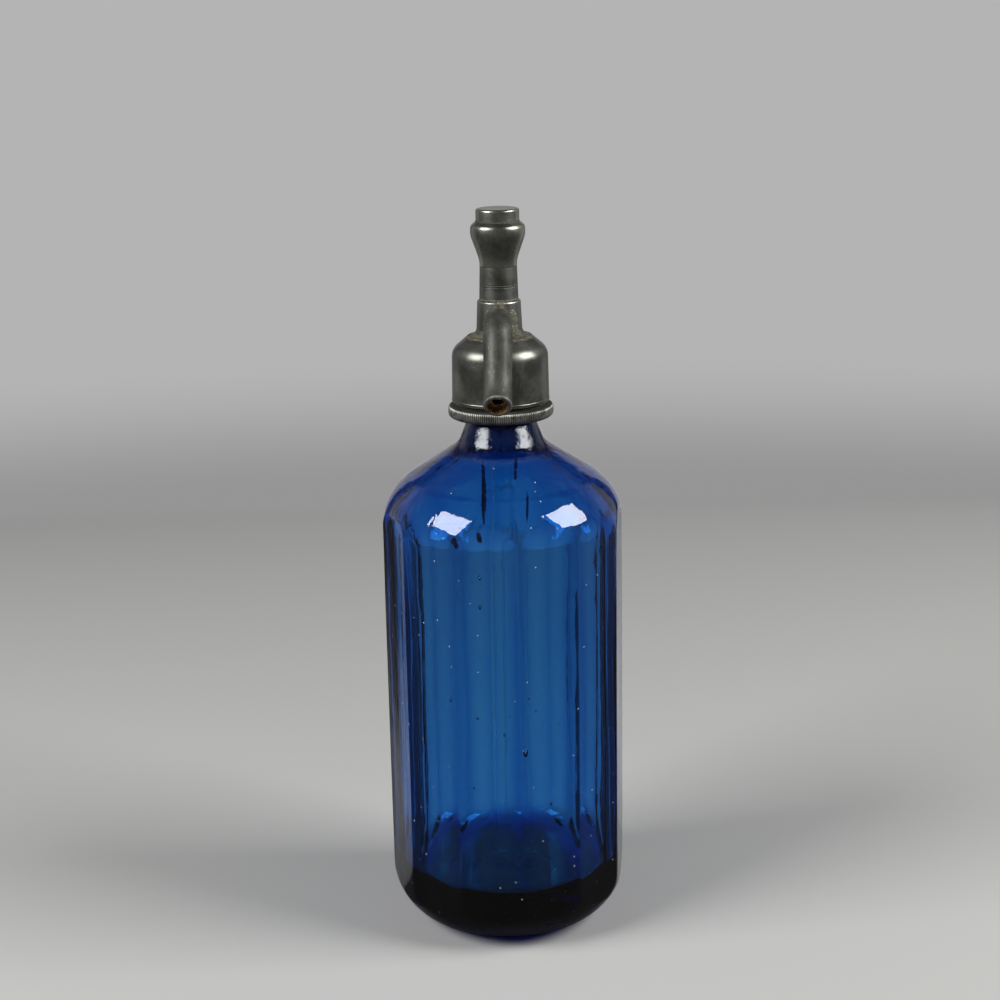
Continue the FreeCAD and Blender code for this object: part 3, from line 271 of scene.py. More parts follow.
def copy_of(node: str, name: str, soften: float, dissolve: float = 1.0, crease: float = 35.0) -> Object:
    """Copy a node of the frame as a piece with its sharp edges eased.

    Args:
        node: the node to copy.
        name: the new piece's name.
        soften: width of the eased edges, in millimetres.
        dissolve: faces that meet at less than this many degrees become one.
        crease: edges that bend by more than this many degrees are eased.

    Returns:
        The piece.
    """
    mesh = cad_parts[node].data.copy()
    mesh.name = name
    mesh.materials.clear()
    with editing(mesh) as work:
        bmesh.ops.remove_doubles(work, verts=work.verts, dist=2e-6)
        bmesh.ops.dissolve_limit(work, angle_limit=math.radians(dissolve), verts=work.verts,
                                 edges=work.edges)
        sharp = [edge for edge in work.edges
                 if len(edge.link_faces) == 2 and edge.calc_face_angle(0.0) > math.radians(crease)]
        bmesh.ops.bevel(work, geom=sharp, offset=soften * MM, offset_type="OFFSET", segments=2,
                        profile=0.5, affect="EDGES", clamp_overlap=True)
        bmesh.ops.triangulate(work, faces=[face for face in work.faces if len(face.verts) > 4])
    return link_object(name, mesh)


def settle(piece: Object) -> None:
    """Turn a piece's modifiers into its plain mesh."""
    view = bpy.context.evaluated_depsgraph_get()
    result = piece.evaluated_get(view)
    mesh = bpy.data.meshes.new_from_object(result, preserve_all_data_layers=True, depsgraph=view)
    mesh.name = piece.name
    piece.modifiers.clear()
    piece.data = mesh


def cut_away(piece: Object, tool: Object) -> None:
    """Cut one piece out of another and drop the cutter."""
    modifier = piece.modifiers.new("cut", "BOOLEAN")
    modifier.operation = "DIFFERENCE"
    modifier.solver = "EXACT"
    modifier.object = tool
    settle(piece)
    bpy.data.objects.remove(tool, do_unlink=True)


def store(mesh: Mesh, name: str, values: np.ndarray) -> None:
    """Store a number for each point of a mesh, as an attribute."""
    attribute = mesh.attributes.new(name, "FLOAT", "POINT")
    attribute.data.foreach_set("value", values.astype(np.float32))


def mark_edges(mesh: Mesh, reach: float = 0.5, least: float = 0.05) -> None:
    """Store how strongly the surface bends at each point, as the attribute "edge".

    Outward bends count towards 1 and inward ones towards -1; wear and the soiling of inward corners follow
    them.

    Args:
        mesh: the mesh to mark.
        reach: the bend radius, in millimetres, that counts fully.
        least: the smallest distance between two faces' middles that is reckoned with.
    """
    work = bmesh.new()
    work.from_mesh(mesh)
    bends = np.zeros(len(work.verts))
    for edge in work.edges:
        if len(edge.link_faces) != 2:
            continue
        first, second = (face.calc_center_median() for face in edge.link_faces)
        gap = max((first - second).length / MM, least)
        curve = edge.calc_face_angle_signed(0.0) / gap * reach
        for vertex in edge.verts:
            if abs(curve) > abs(bends[vertex.index]):
                bends[vertex.index] = curve
    work.free()
    store(mesh, "edge", np.clip(bends, -1, 1))


def dress(piece: Object, finish: "Finish", body: Body, replaces: tuple[str, ...],
          sharp: float = 40.0, flat: bool = False) -> None:
    """Give a new piece its finish, its shading and its place in the frame.

    Args:
        piece: the new piece.
        finish: what its surface is made of.
        body: the body it rides on.
        replaces: the nodes it stands for.
        sharp: edges that bend by more than this many degrees stay sharp.
        flat: whether large faces stay evenly shaded up to their eased edges.
    """
    mesh = piece.data
    mesh.materials.clear()
    mesh.materials.append(finish.material())
    mesh.polygons.foreach_set("material_index", np.zeros(len(mesh.polygons), dtype=np.int32))
    mesh.shade_smooth()
    mesh.set_sharp_from_angle(angle=math.radians(sharp))
    if flat:
        piece.modifiers.new("weigh", "WEIGHTED_NORMAL").keep_sharp = True
        settle(piece)
    mark_edges(piece.data)
    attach(piece, body.value)
    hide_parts(*replaces)
    log.info("%s: %d faces, on %s", piece.name, len(piece.data.polygons), body.value)


def dress_node(node: str, finish: "Finish") -> None:
    """Give a node of the frame a finish and leave its mesh as it is."""
    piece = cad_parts[node]
    piece.data.materials.clear()
    piece.data.materials.append(finish.material())
    log.info("%s: node with %s", node, finish.name)


# ---------------------------------------------------------------- node trees


class Value:
    """A number or vector in a node tree; arithmetic on it adds nodes to the tree."""

    def __init__(self, graph: "Graph", socket: Socket) -> None:
        """Keep the socket that gives the value, and the graph that adds the nodes."""
        self.graph = graph
        self.socket = socket

    def __add__(self, other: Feed) -> "Value":
        """Add a number."""
        return self.graph.math("ADD", self, other)

    def __sub__(self, other: Feed) -> "Value":
        """Take a number away."""
        return self.graph.math("SUBTRACT", self, other)

    def __rsub__(self, other: Feed) -> "Value":
        """Take this value away from a number."""
        return self.graph.math("SUBTRACT", other, self)

    def __mul__(self, other: Feed) -> "Value":
        """Multiply by a number."""
        return self.graph.math("MULTIPLY", self, other)

    def __truediv__(self, other: Feed) -> "Value":
        """Divide by a number."""
        return self.graph.math("DIVIDE", self, other)

    def __pow__(self, other: Feed) -> "Value":
        """Raise to a power."""
        return self.graph.math("POWER", self, other)

    def __abs__(self) -> "Value":
        """Drop the sign."""
        return self.graph.math("ABSOLUTE", self)

    __rmul__ = __mul__


class Graph:
    """Adds nodes to a tree, with their feeds and settings in one line."""

    def __init__(self, tree: bpy.types.NodeTree) -> None:
        """Keep the tree that the nodes go into."""
        self.tree = tree

    def node(self, kind: str, feeds: dict | None = None, **settings: object) -> Node:
        """Add a node.

        Args:
            kind: the node's type.
            feeds: what goes into its inputs, by name or index.
            settings: the node's own properties.

        Returns:
            The node.
        """
        node = self.tree.nodes.new(kind)
        for name, value in settings.items():
            setattr(node, name, value)
        for key, feed in (feeds or {}).items():
            self.feed(node.inputs[key], feed)
        return node

    def feed(self, socket: Socket, feed: Feed) -> None:
        """Link a node, a socket or a value to an input, or set the input to something plain."""
        if isinstance(feed, Value):
            feed = feed.socket
        if isinstance(feed, Node):
            feed = feed.outputs[0]
        if isinstance(feed, Socket):
            self.tree.links.new(feed, socket)
        else:
            socket.default_value = feed

    def value(self, kind: str, feeds: dict | None = None, output: int | str = 0,
              **settings: object) -> Value:
        """Add a node and give one of its outputs."""
        return Value(self, self.node(kind, feeds, **settings).outputs[output])

    def math(self, operation: str, *feeds: Feed) -> Value:
        """Work out one step of arithmetic."""
        return self.value("ShaderNodeMath", dict(enumerate(feeds)), operation=operation)

    def vector(self, operation: str, *feeds: Feed) -> Value:
        """Work out one step of arithmetic on vectors."""
        output = "Value" if operation in ("LENGTH", "DISTANCE") else "Vector"
        return self.value("ShaderNodeVectorMath", dict(enumerate(feeds)), output, operation=operation)

    def ramp(self, value: Feed, slope: Feed, start: Feed) -> Value:
        """Multiply by a slope and add a start."""
        return self.math("MULTIPLY_ADD", value, slope, start)

    def most(self, first: Feed, *others: Feed) -> Feed:
        """Give the greatest of some numbers."""
        for other in others:
            first = self.math("MAXIMUM", first, other)
        return first

    def join(self, x: Feed, y: Feed, z: Feed) -> Value:
        """Join three numbers into a vector."""
        return self.value("ShaderNodeCombineXYZ", {0: x, 1: y, 2: z})

    def split(self, vector: Feed) -> list[Value]:
        """Split a vector into its three numbers."""
        return [Value(self, part) for part in self.node("ShaderNodeSeparateXYZ", {0: vector}).outputs]

    def spread(self, value: Feed, low: Feed, high: Feed, to_low: float = 0.0, to_high: float = 1.0) -> Value:
        """Carry a range of values over to another, smoothly and clamped.

        Args:
            value: what is carried over.
            low: where the range starts.
            high: where the range ends.
            to_low: the result at its start.
            to_high: the result at its end.

        Returns:
            The result.
        """
        feeds = {"Value": value, "From Min": low, "From Max": high, "To Min": to_low, "To Max": to_high}
        return self.value("ShaderNodeMapRange", feeds, interpolation_type="SMOOTHSTEP")

    def noise(self, place: Feed, scale: float, detail: float = 2.0, rough: float = 0.5,
              distortion: float = 0.0, offset: Feed = 0.0) -> Value:
        """Read a cloudy pattern between 0 and 1.

        Args:
            place: where it is read.
            scale: how many clouds in one unit.
            detail: how many finer layers.
            rough: how strong the finer layers are.
            distortion: how much it is stirred.
            offset: another number gives another pattern.

        Returns:
            The pattern.
        """
        feeds = {"Vector": place, "W": offset, "Scale": scale, "Detail": detail,
                 "Roughness": rough, "Distortion": distortion}
        return self.value("ShaderNodeTexNoise", feeds, noise_dimensions="4D")


class Recipe(Graph):
    """A Geometry Nodes tree with named sizes."""

    def __init__(self, name: str) -> None:
        """Start a tree with a geometry input and output."""
        super().__init__(bpy.data.node_groups.new(name, "GeometryNodeTree"))
        for end in ("INPUT", "OUTPUT"):
            self.tree.interface.new_socket("Geometry", in_out=end, socket_type="NodeSocketGeometry")
        self.start = self.node("NodeGroupInput")
        self.sizes: dict[str, str] = {}

    def take(self, *names: str, whole: bool = False) -> list[Value]:
        """Add named inputs for sizes.

        Args:
            names: the inputs' names.
            whole: whether they are whole numbers.

        Returns:
            The sizes inside the tree.
        """
        kind = "NodeSocketInt" if whole else "NodeSocketFloat"
        for name in names:
            socket = self.tree.interface.new_socket(name, in_out="INPUT", socket_type=kind)
            self.sizes[name] = socket.identifier
        return [Value(self, self.start.outputs[name]) for name in names]

    def polar(self) -> tuple[Value, Value, Value, Value]:
        """Give each point's place and height, and its radius and angle round the upright axis."""
        place = self.value("GeometryNodeInputPosition")
        x, y, z = self.split(place)
        radius = self.math("SQRT", self.ramp(x, x, y * y))
        return place, z, radius, self.math("ARCTAN2", y, x)

    def widen(self, place: Value, ratio: Value) -> None:
        """End the tree by moving each point to a ratio of its distance from the upright axis."""
        x, y, z = self.split(place)
        moved = self.join(x * ratio, y * ratio, z)
        feeds = {"Geometry": self.start.outputs[0], "Position": moved}
        self.close(self.node("GeometryNodeSetPosition", feeds))

    def close(self, geometry: Feed) -> None:
        """End the tree: instances become real and take the tree's material."""
        real = self.node("GeometryNodeRealizeInstances", {0: geometry})
        material = bpy.data.materials.get("unfinished") or bpy.data.materials.new("unfinished")
        done = self.node("GeometryNodeSetMaterial", {0: real, "Material": material})
        self.node("NodeGroupOutput", {0: done})

    def run(self, piece: Object, **values: float) -> None:
        """Run the tree on a piece and keep the plain mesh.

        Args:
            piece: the piece.
            values: the named sizes.
        """
        modifier = piece.modifiers.new(self.tree.name, "NODES")
        modifier.node_group = self.tree
        for name, value in values.items():
            modifier[self.sizes[name]] = value
        settle(piece)


# ---------------------------------------------------------------- finishes


class Surface(Graph):
    """The shader tree of one finish, with places in millimetres."""

    def __init__(self, name: str) -> None:
        """Start an empty material."""
        self.made = bpy.data.materials.new(name)
        self.made.use_nodes = True
        self.made.node_tree.nodes.clear()
        super().__init__(self.made.node_tree)
        self.output = self.node("ShaderNodeOutputMaterial")
        whole = self.node("ShaderNodeTexCoord").outputs["Object"]
        self.place = self.value("ShaderNodeVectorMath", {0: whole, "Scale": 1 / MM}, operation="SCALE")
        self.x, self.y, self.z = self.split(self.place)

    def squeezed(self, *ratios: float) -> Value:
        """Give the place times a ratio for each direction; patterns grow long where it is small."""
        return self.vector("MULTIPLY", self.place, ratios)

    def blend(self, amount: Feed, first: Feed, second: Feed) -> Value:
        """Mix two colours by an amount between 0 and 1."""
        feeds = {0: amount, 6: solid(first), 7: solid(second)}
        return self.value("ShaderNodeMix", feeds, 2, data_type="RGBA")

    def mix(self, amount: Feed, first: Feed, second: Feed) -> Value:
        """Mix two numbers by an amount between 0 and 1."""
        return self.value("ShaderNodeMix", {0: amount, 2: first, 3: second}, data_type="FLOAT")

    def bump(self, height: Feed, depth: float, below: Feed | None = None) -> Value:
        """Raise the surface by a pattern.

        Args:
            height: the pattern, from 0 to 1.
            depth: how high 1 stands, in millimetres.
            below: the relief that this one lies on.

        Returns:
            The new normal.
        """
        feeds = {"Strength": 1.0, "Distance": depth * MM, "Height": height}
        if below is not None:
            feeds["Normal"] = below
        return self.value("ShaderNodeBump", feeds)

    def edge(self) -> Value:
        """How strongly the surface bends, from -1 to 1."""
        return self.value("ShaderNodeAttribute", output="Fac", attribute_name="edge")

    def shader(self, **feeds: Feed) -> Node:
        """Add the main shader, its inputs named with _ for each space."""
        named = {key.replace("_", " "): solid(feed) for key, feed in feeds.items()}
        node = self.node("ShaderNodeBsdfPrincipled", named)
        self.feed(self.output.inputs["Surface"], node)
        return node

    def fill(self, tint: Color, density: float) -> None:
        """Fill the piece with a colour that deepens on the way through it."""
        depth = self.node("ShaderNodeVolumeAbsorption", {"Color": solid(tint), "Density": density})
        self.feed(self.output.inputs["Volume"], depth)


def solid(feed: Feed) -> Feed:
    """Give a plain colour its fourth number."""
    return (*feed, 1.0) if isinstance(feed, tuple) and len(feed) == 3 else feed


@dataclass(frozen=True)
class Finish:
    """What a piece's surface is made of."""

    name: str

    def material(self) -> bpy.types.Material:
        """Give the finish's material, made once."""
        known = bpy.data.materials.get(self.name)
        if known is None:
            surface = Surface(self.name)
            self.make(surface)
            known = surface.made
        return known

    def make(self, surface: Surface) -> None:
        """Build the material; each finish has its own way."""
        raise NotImplementedError


@dataclass(frozen=True)
class CobaltGlass(Finish):
    """Deep blue blown glass, with its colour in the thickness of the wall."""

    tint: Color = (0.02, 0.59, 0.883)
    density: float = 440.0
    refraction: float = 1.54
    dried: Color = (0.004, 0.008, 0.024)
    # painted shade: the tint and amount of a dim blue diffuse sheet laid over the neck, where the glass looks
    # dark
    neck_shade_tint: Color = (0.0, 0.037, 0.165)
    neck_shade_amount: float = 0.22
    runs: tuple[tuple[float, float, float, float], ...] = (
        (-7.2, 195.0, 0.8, 6.5),
        (-7.6, 190.5, 0.5, 6.0),
        (5.2, 200.7, 0.8, 1.8),
        (9.3, 189.0, 0.5, 3.0),
        (-18.6, 177.0, 1.1, 1.3),
        (-9.3, 179.5, 0.9, 1.8),
    )

    def make(self, surface: Surface) -> None:
        """Build clear glass with a wavy skin over a blue volume."""
        place, up = surface.place, surface.z
        long = surface.squeezed(1.0, 1.0, 0.45)
        slow = surface.noise(long, 0.035, detail=1.0)
        waves = surface.noise(long, 0.11, detail=2.0, distortion=0.4, offset=3.0)
        drawn = surface.noise(surface.squeezed(1.0, 1.0, 0.03), 0.35, detail=2.0, offset=15.0)
        worn = surface.noise(place, 0.42, detail=3.0, rough=0.6, offset=17.0)
        relief = surface.bump(slow, 0.55)
        relief = surface.bump(waves * surface.spread(up, 160.0, 176.0, 0.10, 0.34), 1.0, relief)
        relief = surface.bump(worn * surface.spread(up, 198.0, 208.0, 0.0, 0.28), 1.0, relief)
        relief = surface.bump(drawn, 0.035, relief)
        rub = surface.noise(place, 0.8, detail=3.0, offset=9.0)
        smudge = surface.noise(place, 0.05, detail=3.0, offset=5.0)
        haze = surface.spread(rub, 0.52, 0.75) * surface.spread(smudge, 0.5, 0.7)
        cells = {"Vector": place, "Scale": 0.16, "Randomness": 1.0}
        dust = surface.value("ShaderNodeTexVoronoi", cells, "Distance")
        speck = surface.spread(dust, 0.035, 0.05, 1.0, 0.0)
        runs_and_neck_shade = self.runs_and_neck_shade(surface)
        # dried runs keep their own colour; over the neck the colour is painted shade
        dark_cover = surface.blend(surface.spread(up, 200.0, 206.0), self.dried, self.neck_shade_tint)
        surface.shader(
            Base_Color=surface.blend(surface.spread(runs_and_neck_shade, 0.0, 0.02), WHITE, dark_cover),
            Roughness=surface.ramp(haze, 0.06, 0.008),
            Transmission_Weight=1.0 - surface.most(speck * 0.55, runs_and_neck_shade),
            IOR=self.refraction,
            Normal=relief,
        )
        surface.fill(self.tint, self.density)

    def runs_and_neck_shade(self, surface: Surface) -> Feed:
        """How much dried runs and chips, and the painted shade over the neck, cover a place, from 0 to 1."""
        ragged = surface.noise(surface.squeezed(1.0, 1.0, 0.35), 0.9, detail=3.0, offset=16.0)
        total: Feed = 0.0
        for across, height, half_width, half_height in self.runs:
            aside = (surface.x - across) / half_width
            along = (surface.z - height) / half_height
            away = surface.vector("LENGTH", surface.join(aside, 0.0, along))
            dark_cover = surface.spread(surface.ramp(ragged, 1.6, away), 1.8, 0.95, 0.0, 0.45)
            total = surface.most(total, dark_cover)
        in_front = total * surface.math("LESS_THAN", surface.y, 0.0)
        # painted shade: up the neck the glass gives way in part to a dim blue diffuse sheet
        return surface.most(in_front, surface.spread(surface.z, 203.0, 218.0, 0.0, self.neck_shade_amount))


@dataclass(frozen=True)
class ClearGlass(Finish):
    """Clear drawn glass, slightly green in its thickness."""

    tint: Color = (0.82, 0.95, 0.9)
    density: float = 30.0
    refraction: float = 1.05

    def make(self, surface: Surface) -> None:
        """Build clear glass with long faint draw lines."""
        lines = surface.noise(surface.squeezed(1.0, 1.0, 0.01), 1.2, detail=2.0)
        surface.shader(Base_Color=WHITE, Roughness=surface.ramp(lines, 0.2, 0.12), Transmission_Weight=1.0,
                       IOR=self.refraction, Normal=surface.bump(lines, 0.02))
        surface.fill(self.tint, self.density)


@dataclass(frozen=True)
class CrustOrShadePatch:
    """A patch of dried crust, or of painted shade: a ball round a point, or a ring at a height."""

    height: float
    reach: float
    across: float | None = None
    along: float | None = None

    def amount(self, surface: Surface) -> Value:
        """How near a place is to the patch, from 0 to 1."""
        if self.across is None:
            away = abs(surface.z - self.height)
        else:
            away = surface.vector("DISTANCE", surface.place, (self.across, self.along, self.height))
        return 1.0 - surface.math("MINIMUM", away / self.reach, 1.0)


@dataclass(frozen=True)
class Pewter(Finish):
    """Aged pewter: satin, grey-green, worn on its edges and soiled in its inward corners, with painted shade
    where patches of it are given.
    """

    dark: Color = (0.108, 0.112, 0.095)
    pale: Color = (0.200, 0.206, 0.177)
    gloss: float = 0.30
    lathe: float = 0.0
    scuffs: float = 0.3
    grooves: tuple[float, ...] = ()
    deposits: tuple[CrustOrShadePatch, ...] = ()
    # patches of painted shade, darkened like the soiled inward corners
    painted_shade: tuple[CrustOrShadePatch, ...] = ()
    varnish: float = 0.0
    worn_edge: Color = (0.36, 0.36, 0.33)
    grime_and_shade_colour: Color = (0.035, 0.033, 0.024)
    pitted: Color = (0.02, 0.02, 0.016)
    scuffed: Color = (0.42, 0.42, 0.39)
    brown_crust: Color = (0.052, 0.044, 0.026)
    beige_crust: Color = (0.15, 0.138, 0.092)

    def make(self, surface: Surface) -> None:
        """Build metal with tarnish clouds, fine pits, wear, soiled inward corners, painted shade and crust.
        """
        place = surface.place
        clouds = surface.noise(place, 0.09, detail=4.0, rough=0.6, distortion=0.5)
        grain = surface.noise(place, 2.4, detail=3.0, rough=0.65, offset=2.0)
        pits = surface.noise(place, 1.1, detail=2.0, rough=0.4, offset=7.0)
        tone = surface.ramp(grain - 0.5, 0.7, surface.spread(clouds, 0.3, 0.7))
        colour = surface.blend(surface.spread(tone, 0.0, 1.0), self.dark, self.pale)
        bend = surface.edge()
        patchy = surface.spread(surface.noise(place, 0.35, detail=3.0, offset=4.0), 0.3, 0.62)
        worn = surface.spread(bend, 0.12, 0.75) * patchy
        grime_and_shade = surface.spread(bend, -0.08, -0.6) * surface.spread(grain, 0.2, 0.6, 0.5, 1.0)
        # painted shade: each given patch darkens the surface like the soiled inward corners
        for patch in self.painted_shade:
            grime_and_shade = surface.most(grime_and_shade, surface.spread(patch.amount(surface), 0.0, 0.35))
        hole = surface.spread(pits, 0.70, 0.78)
        crust = self.crust(surface)
        for amount, over in (
            (worn, self.worn_edge),
            (grime_and_shade, self.grime_and_shade_colour),
            (hole * 0.8, self.pitted),
            (self.rubbing(surface) * self.scuffs, self.scuffed),
            (crust, self.crust_colour(surface)),
        ):
            colour = surface.blend(amount, colour, over)
        rough = surface.ramp(clouds, 0.12, surface.ramp(grain, 0.16, self.gloss - 0.08))
        surface.shader(
            Base_Color=colour,
            Metallic=1.0 - surface.most(crust, grime_and_shade * 0.6),
            Roughness=surface.mix(surface.most(crust, grime_and_shade), rough, 0.8),
            Normal=self.relief(surface, grain, hole, crust),
            Coat_Weight=self.varnish,
            Coat_Roughness=0.24,
        )

    def relief(self, surface: Surface, grain: Feed, hole: Feed, crust: Feed) -> Value:
        """Raise the grain and the crust, and sink the pits, lathe lines and grooves."""
        relief = surface.bump(grain, 0.012)
        relief = surface.bump(1.0 - hole, 0.03, relief)
        if self.lathe:
            upright = surface.join(0.0, 0.0, surface.z)
            lines = surface.noise(upright, 2.2, detail=4.0, rough=0.8, offset=1.0)
            relief = surface.bump(lines, 0.03 * self.lathe, relief)
        for height in self.grooves:
            relief = surface.bump(surface.spread(abs(surface.z - height), 0.05, 0.2), 0.12, relief)
        return surface.bump(crust * surface.noise(surface.place, 1.8, detail=4.0), 0.3, relief)

    def rubbing(self, surface: Surface) -> Value:
        """Short bright scuffs, long in one direction."""
        streaks = surface.noise(surface.squeezed(1.0, 0.7, 0.22), 1.3, detail=3.0, rough=0.7, offset=11.0)
        where = surface.noise(surface.place, 0.16, detail=2.0, offset=12.0)
        return surface.spread(streaks, 0.58, 0.72) * surface.spread(where, 0.45, 0.65)

    def crust(self, surface: Surface) -> Feed:
        """How much dried crust covers a place, from 0 to 1."""
        if not self.deposits:
            return 0.0
        amount = surface.most(*(deposit.amount(surface) for deposit in self.deposits))
        broken = surface.noise(surface.place, 0.9, detail=5.0, rough=0.65, offset=6.0)
        return surface.spread(surface.ramp(amount, 0.75, broken), 0.80, 1.05)

    def crust_colour(self, surface: Surface) -> Value:
        """Beige to brown, in small clouds."""
        shade = surface.spread(surface.noise(surface.place, 0.8, detail=4.0, offset=8.0), 0.35, 0.65)
        return surface.blend(shade, self.brown_crust, self.beige_crust)


@dataclass(frozen=True)
class MouthPewter(Pewter):
    """The spout's pewter, with a rusty recess round the waterway and painted shade at its throat."""

    middle: Place = (0.0, 0.0, 0.0)
    reach: float = 4.65
    throat: Place = (0.0, 0.0, 0.0)
    throat_reach: float = 3.1
    dark_rust: Color = (0.07, 0.032, 0.013)
    bright_rust: Color = (0.30, 0.155, 0.05)
    # painted shade: the near-black laid round the throat
    deep: Color = (0.004, 0.003, 0.002)

    def inside_mouth(self, surface: Surface) -> Value:
        """Whether a place is in the recess of the mouth, from 0 to 1."""
        away = surface.vector("DISTANCE", surface.place, self.middle)
        ragged = surface.noise(surface.place, 1.2, detail=3.0, offset=14.0)
        return surface.spread(surface.ramp(ragged, 0.8, away), self.reach + 0.6, self.reach + 0.3)

    def crust(self, surface: Surface) -> Feed:
        """Crust by the tower, and the whole recess of the mouth."""
        return surface.most(super().crust(surface), self.inside_mouth(surface))

    def crust_colour(self, surface: Surface) -> Value:
        """Beige crust by the tower, rust in the mouth, and painted shade near the throat."""
        shade = surface.spread(surface.noise(surface.place, 0.9, detail=3.0, offset=13.0), 0.4, 0.6)
        rust = surface.blend(shade, self.dark_rust, self.bright_rust)
        # painted shade: towards the throat the rust fades to near black, the shade down the bore
        away = surface.vector("DISTANCE", surface.place, self.throat)
        near_throat = surface.spread(away, self.throat_reach, self.throat_reach - 0.5)
        rust = surface.blend(near_throat, rust, self.deep)
        return surface.blend(self.inside_mouth(surface), super().crust_colour(surface), rust)


@dataclass(frozen=True)
class TurnedMetal(Finish):
    """Machined metal with fine turning marks and dull patches."""

    bright: Color = (0.62, 0.47, 0.22)
    dull: Color = (0.36, 0.25, 0.11)
    gloss: float = 0.28

    def make(self, surface: Surface) -> None:
        """Build metal with lathe lines and tarnish clouds."""
        clouds = surface.spread(surface.noise(surface.place, 0.25, detail=4.0), 0.35, 0.7)
        lines = surface.noise(surface.join(0.0, 0.0, surface.z), 3.5, detail=3.0, rough=0.7)
        surface.shader(Base_Color=surface.blend(clouds, self.bright, self.dull), Metallic=1.0,
                       Roughness=surface.ramp(clouds, 0.2, self.gloss), Normal=surface.bump(lines, 0.012))


@dataclass(frozen=True)
class SoftGoods(Finish):
    """Rubber or leather: matt, with a fine grain and paler rubbed patches."""

    deep: Color = (0.018, 0.017, 0.015)
    rubbed: Color = (0.06, 0.056, 0.05)
    grain: float = 2.5

    def make(self, surface: Surface) -> None:
        """Build a matt grained surface."""
        clouds = surface.spread(surface.noise(surface.place, 0.3, detail=3.0), 0.3, 0.75)
        cells = {"Vector": surface.place, "Scale": self.grain}
        grain = surface.value("ShaderNodeTexVoronoi", cells, "Distance")
        surface.shader(Base_Color=surface.blend(clouds, self.deep, self.rubbed),
                       Roughness=surface.ramp(clouds, 0.15, 0.6), Normal=surface.bump(grain, 0.03))


@dataclass(frozen=True)
class PaleGround(Finish):
    """The pale ground; mirrored in metal and glass it ends where a real table would."""

    pale: Color = (0.46, 0.46, 0.445)
    half_width: float = 45.0
    mirrored: tuple[float, float] = (0.45, 0.90)
    refracted: tuple[float, float] = (0.38, 1.8)
    aside: float = 1.8
    rim: float = 680.0
    squareness: float = 6.0
    fade_in_front: float = 330.0
    fade_behind: float = 70.0

    def make(self, surface: Surface) -> None:
        """Build an even matt ground with dark cards in mirrored and refracted rays, faded at its rim."""
        matt = surface.shader(Base_Color=surface.blend(self.cards(surface) * 0.88, self.pale, BLACK),
                              Roughness=0.8, Specular_IOR_Level=0.2)
        clear = surface.node("ShaderNodeBsdfTransparent")
        shown = surface.node("ShaderNodeMixShader", {0: self.faded(surface), 1: matt, 2: clear})
        surface.feed(surface.output.inputs["Surface"], shown)

    def cards(self, surface: Surface) -> Value:
        """How dark a place is in mirrored and refracted rays, from 0 to 1."""
        y = surface.y
        path = surface.node("ShaderNodeLightPath")
        slope = (abs(surface.x) - self.half_width) / surface.most(y, 1.0)
        in_front = surface.spread(y, 40.0, -40.0)
        dark = surface.most(in_front, surface.spread(slope, self.aside, self.aside + 0.6))
        dark = dark * path.outputs["Is Glossy Ray"]
        spans = {"Is Glossy Ray": self.mirrored, "Is Transmission Ray": self.refracted}
        for ray, (near, far) in spans.items():
            card = surface.spread(slope, near - 0.04, near + 0.04)
            card = card * surface.spread(slope, far + 0.1, far - 0.1)
            card = card * surface.spread(y, 20.0, 40.0)
            dark = surface.most(dark, card * path.outputs[ray])
        return dark

    def faded(self, surface: Surface) -> Value:
        """How far the ground has faded away towards its squarish rim, from 0 to 1."""
        power = self.squareness
        far = (abs(surface.x) ** power + abs(surface.y) ** power) ** (1.0 / power)
        behind = surface.spread(surface.y / far, 0.6, 0.95)
        soft = surface.mix(behind, self.fade_in_front, self.fade_behind)
        return surface.spread((far - (self.rim - soft)) / soft, 0.0, 1.0)


# ---------------------------------------------------------------- the bottle


@dataclass(frozen=True)
class Seeds:
    """A cloud of small bubbles, in millimetres: their number, draw, place and size."""

    count: int
    draw: int
    heights: tuple[float, float]
    radii: tuple[float, float]
    sizes: tuple[float, float]


